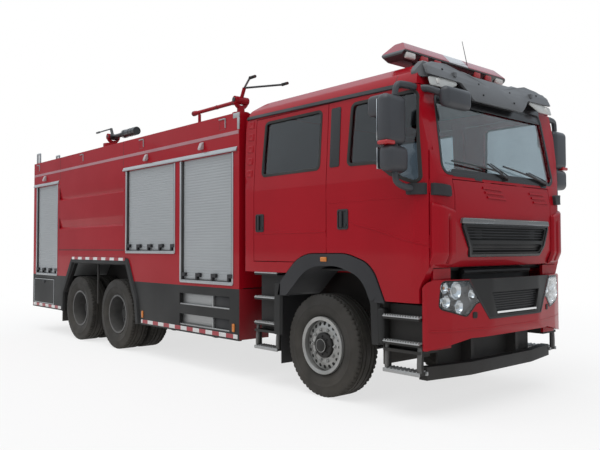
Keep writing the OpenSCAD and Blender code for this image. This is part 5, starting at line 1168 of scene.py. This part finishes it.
def trimHeadlamps():
    dish = pad(lampRows, [(1, 0.0), (0.985, -0.045), (0.7, -0.05), (0.2, -0.05)], onBumper)
    rim = ribbon(outline(lampRows), 0.012, 0.005, onBumper, closed=True)
    cover = pad(lampRows, [(0.995, 0.003), (0.9, 0.005), (0.5, 0.006)], onBumper)
    bowls, clear, amber = [], [], []
    for y, z, r, kind in lampBowls:
        at = onBumper(np.array(y), np.array(z), np.array(-0.012))
        bowls.append(lathe([(r * 1.06, -0.042), (r * 1.06, 0.002), (r, 0.004), (r * 0.95, -0.002),
                            (r * 0.78, -0.020), (r * 0.4, -0.033), (0, -0.036)], at, "x", steps=32))
        rows = [(0, 0.0), (r * 0.26, -0.003), (r * 0.40, -0.012), (r * 0.42, -0.034)]
        (amber if kind == "amber" else clear).append(lathe(rows, at, "x", steps=24))
    back = piece("headlampDish", bothSides(dish), "truck", lampDark)
    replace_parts(back, "lamps")
    piece("headlampRims", bothSides(rim), "truck", glossBlack)
    piece("headlampBowls", bothSides(*bowls), "truck", chrome)
    piece("headlampLenses", bothSides(*clear), "truck", clearLens)
    piece("headlampAmbers", bothSides(*amber), "truck", amberLens)
    glass = piece("headlampCovers", bothSides(cover), "truck", lampGlass)
    thick = glass.modifiers.new("thickness", "SOLIDIFY")
    thick.thickness = 0.003


bumper = {"bar": ((-0.36, 0.945), (0.36, 0.945)), "fins": (0.98, 1.12, 7), "towY": 0.66,
          "crease": ((-1.17, 0.812), (-0.9, 0.806), (0, 0.806), (0.9, 0.806), (1.17, 0.812)),
          "edge": ((-0.735, 1.262), (-0.47, 0.897), (0.47, 0.897), (0.735, 1.262)),
          "machinery": (((4.60, -0.55, 1.16), (4.66, 0.55, 1.37), 0.02),
                        ((4.52, -0.83, 0.90), (4.58, 0.83, 1.375), 0.02)),
          "pipe": ((4.69, -0.6, 1.33), (4.69, 0.6, 1.33))}


def trimBumper():
    strip = ribbon(bumper["bar"], 0.026, 0.006, onBumper, sink=0.03)
    piece("intakeBar", strip, "truck", chrome)
    bars = []
    for z in np.linspace(*bumper["fins"]):
        half = 0.345 + 0.37 * (z - 0.925)
        bars.append(ribbon([(-half, z), (half, z)], 0.010, -0.02, onBumper, sink=0.034))
    piece("intakeFins", together(*bars), "truck", blackPlastic)
    crease = ribbon(bumper["crease"], 0.020, 0.004, onBumper)
    piece("bumperCrease", crease, "truck", redPaint)
    levels = [(1, -0.004), (0.96, 0.006), (0.8, 0.008), (0.3, 0.006)]
    caps = [pad(rect(y - 0.028, y + 0.028, 0.905, 0.965, 0.012), levels, onBumper)
            for y in (-bumper["towY"], bumper["towY"])]
    piece("towCovers", together(*caps), "truck", hubDark)
    edge = ribbon(bumper["edge"], 0.022, 0.006, onBumper)
    piece("centreEdge", edge, "truck", blackPlastic)
    machinery = together(*boxes(bumper["machinery"]), tube(bumper["pipe"], 0.024))
    piece("frontMachinery", machinery, "truck", chassisBlack)


barLamps = {"x": frontAxle + 0.93, "z": 3.487}


def barLamp(y, half, front, radius):
    # one lens block in the light bar's face
    x, z = barLamps["x"], barLamps["z"]
    return roundBox((x - 0.05, y - half, z - 0.035), (x - front, y + half, z + 0.032), radius)


def trimLightBar():
    clear = [barLamp(y, 0.075, 0.008, 0.016) for y in (-0.80, 0.80)]
    red = [barLamp(y, 0.06, 0.010, 0.012) for y in (-0.58, 0.58, -0.36, 0.36)]
    piece("barLampsClear", together(*clear), "truck", clearLens)
    piece("barLampsRed", together(*red), "truck", redLens)
    rod = tube([(4.235, 0.25, 3.36), (4.225, 0.22, 3.50), (4.20, 0.14, 3.83)], [0.010, 0.005, 0.003], 8)
    piece("antenna", rod, "truck", gunBlack)


mirror = {"x0": 4.505, "x1": 4.640, "y0": -1.628, "y1": -1.338,
          "kerb": ((4.328, -1.557, 2.753), (4.56, -1.443, 2.947), 0.05, 5),
          "top": ((4.60, -1.17, 3.040), (4.592, -1.30, 3.046), (4.58, -1.41, 3.030), (4.575, -1.443, 2.93)),
          "low": ((4.612, -1.20, 2.098), (4.595, -1.33, 2.112), (4.578, -1.43, 2.160), (4.575, -1.443, 2.26)),
          "stem": ((4.575, -1.443, 2.45), (4.575, -1.443, 2.52)),
          "front": ((4.775, -1.085, 2.842), (4.885, -0.680, 3.036), 0.054, 7),
          "frontArm": ((4.60, -1.135, 3.035), (4.68, -1.10, 3.03), (4.76, -1.04, 2.99), (4.83, -0.98, 2.96))}


def taper(points, start, end):
    # a tube along a smooth curve, thinner from its start to its end
    path = smoothPath(points)
    return tube(path, np.linspace(start, end, len(path)))


def mirrorShapes():
    # three heads on two arms, the glass of two of them and the marker between those
    x0, x1, y0, y1 = (mirror[k] for k in ("x0", "x1", "y0", "y1"))
    heads = [roundBox((x0, y0, 2.482), (x1, y1, 2.930), 0.06, 6),
             roundBox((x0, y0 + 0.02, 2.238), (x1 + 0.01, y1 + 0.02, 2.474), 0.06, 6),
             roundBox(*mirror["kerb"])]
    arms = [taper(mirror["top"], 0.034, 0.028), taper(mirror["low"], 0.034, 0.026)]
    stem = tube(mirror["stem"], 0.03)
    panes = [roundBox((x0 - 0.003, y0 + 0.022, z0), (x0 + 0.004, y1 - 0.022, z1), 0.003, 2)
             for z0, z1 in ((2.515, 2.89), (2.262, 2.455))]
    wedge = roundBox((x0 + 0.02, y0 - 0.002, 2.474), (x1 + 0.002, y0 + 0.12, 2.512), 0.014)
    return together(*heads, *arms, stem), together(*panes), wedge


def trimMirrors():
    shell, glass, wedge = mirrorShapes()
    for side in ("right", "left"):
        body = "front_door_" + side
        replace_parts(piece("mirrorShell." + side, oneSide(shell, side), body, mirrorShell),
                    "mirror_" + side)
        piece("mirrorGlass." + side, oneSide(glass, side), body, chrome)
        piece("mirrorLens." + side, oneSide(wedge, side), body, redLens)
    front = together(roundBox(*mirror["front"]), taper(mirror["frontArm"], 0.036, 0.03))
    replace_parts(piece("frontMirrorShell", front, "truck", mirrorShell), "front_mirror")


# pivot, arm's end, blade's two ends
wiperRows = (((0.04, 2.262), (-0.29, 2.385), (-0.865, 2.372), (-0.02, 2.318)),
             ((0.80, 2.252), (0.42, 2.345), (0.015, 2.385), (0.74, 2.275)))


def onScreen(row, lift):
    # a place on the windscreen, lifted off it
    return onNose(np.array(row[0]), np.array(row[1]), lift)


def trimWipers():
    shapes = []
    for pivot, arm, tip, heel in wiperRows:
        a, b = onScreen(pivot, 0.030), onScreen(arm, 0.034)
        rows = [(0, 0.045), (0.021, 0.042), (0.025, 0.0), (0.025, -0.03)]
        shapes += [lathe(rows, onScreen(pivot, 0.0), "x", steps=24),
                   tube(np.linspace(a, b, 6), np.linspace(0.013, 0.008, 6)),
                   tube(np.linspace(a + (0, 0, 0.03), b + (0, 0.05, 0.006), 6), 0.006)]
        blade = np.linspace(onScreen(tip, 0.020), onScreen(heel, 0.020), 24)
        blade += np.outer(np.sin(np.linspace(0, math.pi, 24)), (0.004, 0, 0.006))
        shapes += [tube(blade, 0.009, 8), tube(blade - (0.010, 0, 0), 0.004, 6)]
    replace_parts(piece("wiperSet", together(*shapes), "truck", gunBlack), "wipers")


# wheels: tyres with their tread, hub covers and nuts

# rows of half width, radius and share of the notch between the shoulder blocks
tyre = {"depth": 0.012, "blocks": 60, "steps": 240, "twin": 0.1725, "rows": (
    (0.108, 0.290, 0), (0.117, 0.304, 0), (0.134, 0.330, 0), (0.1475, 0.362, 0), (0.1525, 0.392, 0),
    (0.1545, 0.420, 0), (0.1565, 0.424, 0), (0.1565, 0.430, 0), (0.154, 0.434, 0), (0.151, 0.462, 0),
    (0.1465, 0.488, 0), (0.1445, 0.503, 0.2), (0.1415, 0.524, 1), (0.135, 0.535, 1), (0.126, 0.539, 1),
    (0.103, 0.540, 1), (0.097, 0.540, 0), (0.093, 0.527, 0), (0.083, 0.527, 0), (0.079, 0.540, 0),
    (0.046, 0.540, 0), (0.042, 0.527, 0), (0.032, 0.527, 0), (0.028, 0.540, 0), (0.0, 0.540, 0))}


def tyreShape(x, y, z):
    # half a section mirrored and turned round the axle; shoulder rows drop between the blocks
    rows = np.array(tyre["rows"])
    rows = np.concatenate([rows, rows[-2::-1] * (-1, 1, 1)])
    turn = np.linspace(0, 2 * math.pi, tyre["steps"], endpoint=False)
    notch = ((turn * tyre["blocks"] / (2 * math.pi)) % 1 > 0.6) * tyre["depth"]
    r = rows[:, 1:2] - rows[:, 2:] * notch
    points = np.stack([x + r * np.cos(turn), y + rows[:, :1] + 0 * r, z + r * np.sin(turn)], -1)
    return points.reshape(-1, 3), gridFaces(len(rows), tyre["steps"], True, True).tolist()


# faces and bolt faces count out from the wheel's middle; the cone has its height, slope and first radius;
# the rings are lip, collar and disc of a front rim, each with its steps round and rows of radius and height
hub = {"nutCount": 10, "nutRing": 0.166, "nutR": 0.0185, "nutH": 0.042,
       "boltCount": 8, "boltRing": 0.096, "boltR": 0.009, "boltH": 0.016,
       "holes": 20, "holeRing": 0.226, "holeSize": (0.019, 0.0205), "cone": (0.112, 0.30, 0.19),
       "front": {"face": 0.099, "boltFace": 0.136,
                 "boss": ((0.0, 0.170), (0.030, 0.170), (0.036, 0.166), (0.064, 0.166), (0.073, 0.160),
                          (0.075, 0.138), (0.112, 0.136), (0.126, 0.130), (0.132, 0.116), (0.134, 0.092))},
       "rear": {"face": 0.014, "boltFace": 0.155,
                "boss": ((0.0, 0.189), (0.050, 0.189), (0.070, 0.184), (0.074, 0.160), (0.112, 0.156),
                         (0.130, 0.146), (0.134, 0.01))},
       "rings": ((96, ((0.262, 0.147), (0.284, 0.152), (0.300, 0.1535), (0.3025, 0.148), (0.299, 0.140),
                       (0.264, 0.140))),
                 (64, ((0.140, 0.097), (0.142, 0.1075), (0.190, 0.1075), (0.196, 0.097))),
                 (96, ((0.188, 0.1126), (0.262, 0.0904), (0.265, 0.085), (0.262, 0.078), (0.188, 0.095))))}


def nutRing(x, y, z, side, kind):
    # hexagon nuts with a domed stud end, spread evenly round the axle
    count, ring, r, h = (hub[kind + k] for k in ("Count", "Ring", "R", "H"))
    turn = 2 * math.pi * np.arange(count) / count
    hexagon = [(r, -0.004), (r, 0.62 * h), (0.8 * r, 0.7 * h)]
    stud = [(0.55 * r, 0.6 * h), (0.55 * r, 0.94 * h), (0.3 * r, h), (0, h)]
    nut = together(lathe(hexagon, (0, 0, 0), side=side, steps=6), lathe(stud, (0, 0, 0), side=side, steps=14))
    return repeat(nut, spread(x + ring * np.cos(turn), y, z + ring * np.sin(turn)))


def handHoles(x, y, z, side):
    # painted shade: dark ovals on the wheel's cone standing for the shade seen through its hand holes; angle
    # and radius of each point, then the cone's height at that radius
    turn = np.linspace(0, 2 * math.pi, 20, endpoint=False)
    rings = np.array([(1.0, -0.002), (0.96, 0.0016), (0.7, 0.0012)])
    spin = 2 * math.pi * np.arange(hub["holes"]) / hub["holes"]
    r = hub["holeRing"] + hub["holeSize"][1] * rings[:, :1] * np.sin(turn)
    a = spin[:, None, None] + hub["holeSize"][0] / hub["holeRing"] * rings[:, :1] * np.cos(turn)
    top, slope, first = hub["cone"]
    high = top - slope * (r - first) + rings[:, 1:]
    shapes = np.stack([x + r * np.cos(a), y + side * high + 0 * a, z + r * np.sin(a)], -1)
    faces = gridFaces(3, 20, loopCols=True).tolist() + [list(range(40, 60))]
    return together(*((one.reshape(-1, 3), faces) for one in shapes))


def trimWheels():
    for end in ("front", "mid", "rear"):
        h = hub["front" if end == "front" else "rear"]
        for side, sign in (("right", -1), ("left", 1)):
            body, node, mark = "wheel_" + end + "_" + side, "tyre_" + end + "_" + side, end + "." + side
            x, y, z = (float(sum(c[k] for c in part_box(node)) / 2) for k in range(3))
            spots = [y] if end == "front" else [y - tyre["twin"], y + tyre["twin"]]
            treads = together(*(tyreShape(x, s, z) for s in spots))
            work = piece("tread." + mark, treads, body, tyreRubber)
            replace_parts(work, node)
            nuts = nutRing(x, y + sign * h["face"], z, sign, "nut")
            piece("nuts." + mark, nuts, body, wheelSilver if end == "front" else wheelGrey)
            boss = lathe(h["boss"], (x, y, z), side=sign, steps=64)
            bolts = nutRing(x, y + sign * h["boltFace"], z, sign, "bolt")
            piece("hub." + mark, together(boss, bolts), body, hubDark)
            if end == "front":
                rings = [lathe(rows, (x, y, z), side=sign, steps=steps, ring=True)
                         for steps, rows in hub["rings"]]
                piece("rimLip." + side, together(*rings), body, wheelSilver)
                piece("handHoles." + side, handHoles(x, y, z, sign), body, netBlack)


# steps: silver toothed treads on the black flights

# rear edge, front edge, tread heights
flights = ((4.235, 4.660, (0.925, 0.690)), (2.255, 2.662, (1.280, 0.995, 0.705)))
treadEdge = {"out": -1.238, "in": -1.132, "tooth": 0.016, "count": 14, "hangLow": 0.402, "hangTop": 0.438}


def trimSteps():
    t = treadEdge
    plates, teeth, hang, straps = [], [], [], []
    for x0, x1, heights in flights:
        spots = x0 + (x1 - x0) * (np.arange(t["count"]) + 0.5) / t["count"]
        for z in heights:
            plates.append(roundBox((x0 - 0.002, t["out"] - 0.004, z - 0.006),
                                   (x1 + 0.002, t["out"] + 0.022, z + 0.006), 0.004, 2))
            plates.append(roundBox((x0, t["out"] + 0.018, z - 0.002), (x1, t["in"], z + 0.0035), 0.002, 2))
            tooth = prism([(-0.009, 0), (0.009, 0), (0.005, t["tooth"]), (-0.005, t["tooth"])], "xz",
                          t["out"] + 0.002, t["out"] + 0.016)
            teeth.append(repeat(tooth, spread(spots, 0, z + 0.003)))
            teeth.append(repeat(tooth, spread(spots, 0.05, z + 0.001)))
        hang += [roundBox((x0 - 0.004, t["out"] + a, t["hangLow"]), (x1 + 0.004, t["out"] + b, t["hangTop"]),
                          0.006, 2) for a, b in ((-0.004, 0.016), (0.112, 0.137))]
        tooth = prism([(-0.008, 0), (0.008, 0), (0.005, 0.02), (-0.005, 0.02)], "xz", t["out"],
                      t["out"] + 0.13)
        spots = x0 + 0.03 + (x1 - x0 - 0.06) * np.arange(9) / 8
        hang.append(repeat(tooth, spread(spots, 0, t["hangTop"] - 0.012)))
        for x in (x0 + 0.02, x1 - 0.02):
            strap = [(x, -1.205, 0.43), (x, -1.208, 0.50), (x, -1.20, 0.60), (x, -1.19, heights[-1] - 0.01)]
            straps.append(tube(smoothPath(strap), 0.021))
    piece("stepPlates", bothSides(*plates, *teeth), "truck", plateAlloy, smooth=False)
    piece("hangingSteps", bothSides(*hang), "truck", plateAlloy)
    piece("stepStraps", bothSides(*straps), "truck", wheelGrey)


# monitors: collars, hose couplings and black grips

monitor = {"x": 0.31, "z": 3.80, "rise": 0.18, "post": 0.09, "reach": 0.62, "half": 0.30, "grip": 0.13,
           "table": 3.565, "muzzle": 1.32, "pin": 0.136,
           "collars": ((0.16, 0.05, 0.036), (0.62, 0.03, 0.034), (1.27, 0.05, 0.043))}  # back, width, radius
gun = {"z": 3.78, "first": -3.52, "rings": (0.02, 0.10, 0.30, 0.42), "muzzle": -2.98}


def trimMonitors():
    m, g = monitor, gun
    top = m["z"] + m["rise"]
    rods, grips, collars = [], [], []
    for y in (-m["half"], m["half"]):
        rods.append(tube([(m["x"] + m["post"], 0, top), (m["x"] + m["reach"], y, top)], 0.0155))
        x = m["x"] + m["reach"]
        grips.append(lathe([(0.0, -0.002), (0.022, 0), (0.0245, 0.006), (0.022, 0.012),
                            (0.022, m["grip"] - 0.008), (0.018, m["grip"] + 0.003),
                            (0, m["grip"] + 0.003)], (x, y, top), "x", steps=24))
    piece("monitorRods", together(*rods), "monitor_pipe", gunBlack)
    piece("monitorGrips", together(*grips), "monitor_pipe", rubber)
    for back, wide, r in m["collars"]:
        x = m["x"] - back
        rows = [(0.028, 0), (r, 0.003), (r, wide - 0.003), (0.028, wide)]
        collars.append(lathe(rows, (x - wide, 0, m["z"]), "x", steps=32, ring=True))
    piece("monitorCollars", together(*collars), "monitor_pipe", redDeep)
    muzzle = lathe([(0.0, -0.028), (0.024, -0.028), (0.026, 0.004), (0.040, 0.003), (0.041, -0.006),
                    (0.036, -0.03)], (m["x"] - m["muzzle"], 0, m["z"]), "x", side=-1, steps=32)
    piece("monitorMuzzle", muzzle, "monitor_pipe", gunBlack)
    yokes = [lathe([(0.0, 0.006), (0.03, 0.006), (0.034, 0.002), (0.036, -0.006)],
                   (m["x"], s * m["pin"], m["z"]), "y", side=s, steps=28)
             for s in (-1, 1)]
    piece("monitorPinCaps", together(*yokes), "monitor_pipe", gunBlack)
    ribs = [lathe([(0.074, 0), (0.0795, 0.003), (0.0795, 0.012), (0.074, 0.015)], (g["first"] + d, 0, g["z"]),
                  "x", steps=40, ring=True) for d in g["rings"]]
    nose = lathe([(0.0, -0.03), (0.050, -0.03), (0.058, 0.003), (0.0765, 0.004), (0.078, -0.01)],
                 (g["muzzle"], 0, g["z"]), "x", steps=40)
    piece("gunRings", together(*ribs, nose), "powder_pipe", gunBlack)
    rows = [(0.0, 0.012), (0.10, 0.012), (0.112, 0.004), (0.112, -0.004)]
    cap = lathe(rows, (m["x"], 0, m["table"]), "z", steps=40)
    piece("turntableCap", cap, "monitor_swivel", redDeep)


# seats, dash and wheel behind the glass

# front and bench: rear edge, middle and width
seats = {"front": (3.75, 0.62, 0.54), "bench": (2.31, 0.0, 2.0), "cushion": (1.59, 1.72), "long": 0.48,
         "lean": 12, "rest": 0.13, "restLong": 0.76}


def seatShapes(x, y, wide, parts):
    # cushions side by side on a base, each with a backrest that leans rearward
    shapes, width = [], wide / parts
    for k in range(parts):
        mid = y - wide / 2 + (k + 0.5) * width
        base = cushion((seats["long"], width - 0.01, seats["cushion"][1] - seats["cushion"][0] + 0.04),
                       0.25, (-0.62, 0.62))
        back = cushion((seats["restLong"], width - 0.01, seats["rest"] + 0.02), 0.3, (-0.55, 0.55))
        shapes.append(turned(base, 0, (x + seats["long"] / 2, mid, sum(seats["cushion"]) / 2)))
        rise = math.radians(seats["lean"])
        place = (x + 0.055 - seats["restLong"] / 2 * math.sin(rise), mid,
                 1.61 + seats["restLong"] / 2 * math.cos(rise))
        shapes.append(turned(back, -(90 + seats["lean"]), place))
    return shapes


cabin = {"dash": (((4.41, -1.04, 1.34), (4.625, 1.04, 2.06), 0.05, 4),
                  ((4.36, -1.03, 1.90), (4.635, 1.03, 2.125), 0.06, 5),
                  ((4.315, 0.36, 1.98), (4.50, 0.90, 2.165), 0.05, 4)),
         "boards": (((2.08, -1.07, 3.185), (4.44, 1.07, 3.205), 0.008),
                    ((2.10, -1.05, 1.40), (2.122, 1.05, 3.19), 0.006)),
         "mat": ((2.14, -1.05, 1.322), (4.44, 1.05, 1.345), 0.008),
         "benchBase": ((2.33, -0.97, 1.34), (2.77, 0.97, 1.61), 0.03)}
steering = {"radius": 0.225, "spoke": 0.21, "place": (4.23, 2.08), "lean": -30,
            "boss": ((0, 0.012), (0.05, 0.008), (0.07, -0.02), (0.04, -0.05), (0.032, -0.34))}


def trimInside():
    x, y, wide = seats["front"]
    plinths = [roundBox((3.77, s * y - 0.22, 1.34), (4.21, s * y + 0.22, 1.61), 0.03) for s in (-1, 1)]
    plinths.append(roundBox(*cabin["benchBase"]))
    piece("cabLining", together(*boxes(cabin["boards"])), "truck", liningGrey)
    piece("floorMat", roundBox(*cabin["mat"]), "truck", rubber)
    work = piece("dash", together(*boxes(cabin["dash"]), *plinths), "truck", trimGrey)
    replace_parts(work, "cab_interior")
    for name, shapes in (("seatDriver", seatShapes(x, y, wide, 1)), ("seatMate", seatShapes(x, -y, wide, 1)),
                         ("seatBench", seatShapes(*seats["bench"], 4))):
        piece(name, together(*shapes), "truck", seatCloth)
    w, turn = steering, np.linspace(0, 2 * math.pi, 64, endpoint=False)
    ring = np.stack([w["radius"] * np.cos(turn), w["radius"] * np.sin(turn), 0 * turn], -1)
    spokes = [tube([(0, 0, -0.012), (w["spoke"] * math.cos(a), w["spoke"] * math.sin(a), 0)], 0.014)
              for a in (0.5, math.pi - 0.5, math.pi * 1.5)]
    boss = lathe(w["boss"], (0, 0, 0), "z", steps=32)
    flat = together(tube(ring, 0.016, 12, closed=True), boss, *spokes)
    wheel = turned(flat, w["lean"], (w["place"][0], y, w["place"][1]))
    piece("steeringWheel", wheel, "truck", gunBlack)


# floor, light and background

stage = {"floorHalf": 120.0, "floorColour": 0.80, "worldLight": 0.62, "keyLight": 1.5, "fillLight": 0.4,
         "horizon": 0.45}


def seenRays(tree):
    # rays straight from the camera or through glass, those off polished faces, and all of them together
    light = addNode(tree, "ShaderNodeLightPath").outputs
    straight = mathNode(tree, "MAXIMUM", light["Is Camera Ray"], light["Is Transmission Ray"])
    glossy = light["Is Glossy Ray"]
    return straight, glossy, mathNode(tree, "MAXIMUM", straight, glossy)


def makeStage():
    half = stage["floorHalf"]
    mesh = bpy.data.meshes.new("floor")
    corners = [(-half, -half, 0), (half, -half, 0), (half, half, 0), (-half, half, 0)]
    mesh.from_pydata(corners, [], [(0, 1, 2, 3)])
    floor = bpy.data.objects.new("floor", mesh)
    bpy.context.scene.collection.objects.link(floor)
    material, tree, shader = newMaterial("floorPale")
    place = objectPlace(tree)
    away = addNode(tree, "ShaderNodeVectorMath", {0: place}, operation="LENGTH").outputs["Value"]
    feed(tree, shader, {"Base Color": (stage["floorColour"],) * 3 + (1,), "Roughness": 0.9,
                        "Specular IOR Level": 0.0})
    white = addNode(tree, "ShaderNodeEmission", {"Color": (1, 1, 1, 1), "Strength": 1.0})
    seen = seenRays(tree)[-1]
    share = mathNode(tree, "MULTIPLY", seen, ramp(tree, away, 5.0, 14.0, 0.70, 1.0))
    mix = addNode(tree, "ShaderNodeMixShader", {0: share, 1: shader.outputs[0], 2: white.outputs[0]})
    tree.links.new(mix.outputs[0], tree.nodes["Material Output"].inputs["Surface"])
    mesh.materials.append(material)


def makeLight():
    world = bpy.data.worlds.new("studio")
    bpy.context.scene.world = world
    world.use_nodes = True
    tree = world.node_tree
    tree.nodes.clear()
    straight, glossy, seen = seenRays(tree)
    soft = addNode(tree, "ShaderNodeBackground",
                   {"Color": (0.96, 0.98, 1, 1), "Strength": stage["worldLight"]})
    place = addNode(tree, "ShaderNodeTexCoord").outputs["Generated"]
    rise = addNode(tree, "ShaderNodeSeparateXYZ", {0: place}).outputs["Z"]
    # what polished faces mirror: dim low down, white overhead
    sky = ramp(tree, rise, 0.0, 0.5, stage["horizon"], 1.0)
    strength = mathNode(tree, "MAXIMUM", sky, straight)
    tone = mixColour(tree, glossy, (1, 1, 1), (0.82, 0.91, 1.0))
    white = addNode(tree, "ShaderNodeBackground", {"Color": tone, "Strength": strength})
    mix = addNode(tree, "ShaderNodeMixShader", {0: seen, 1: soft.outputs[0], 2: white.outputs[0]})
    out = addNode(tree, "ShaderNodeOutputWorld")
    tree.links.new(mix.outputs[0], out.inputs["Surface"])
    for name, strength, turn, spread in (("key", stage["keyLight"], (20, 0, 26), 50),
                                         ("fill", stage["fillLight"], (48, -8, -40), 70)):
        sun = bpy.data.lights.new(name, "SUN")
        sun.energy = strength
        sun.angle = math.radians(spread)
        lamp = bpy.data.objects.new(name, sun)
        lamp.rotation_euler = [math.radians(a) for a in turn]
        bpy.context.scene.collection.objects.link(lamp)


makeCamera()
dressNodes()
trimSides()
makeCurtains()
trimUpperBand()
trimSkirt()
trimLockers()
trimTail()
print("fire body trimmed")
trimDoors()
trimLinings()
trimFrontDoors()
trimCabWalls()
trimScreen()
trimGrille()
trimFlap()
trimCorners()
trimVisor()
trimHeadlamps()
trimBumper()
trimLightBar()
trimMirrors()
trimWipers()
print("cab trimmed")
trimWheels()
trimSteps()
trimMonitors()
trimInside()
print("wheels, steps, monitors and seats made")
makeStage()
makeLight()
bpy.context.scene.view_settings.view_transform = "Standard"
print("stage set")
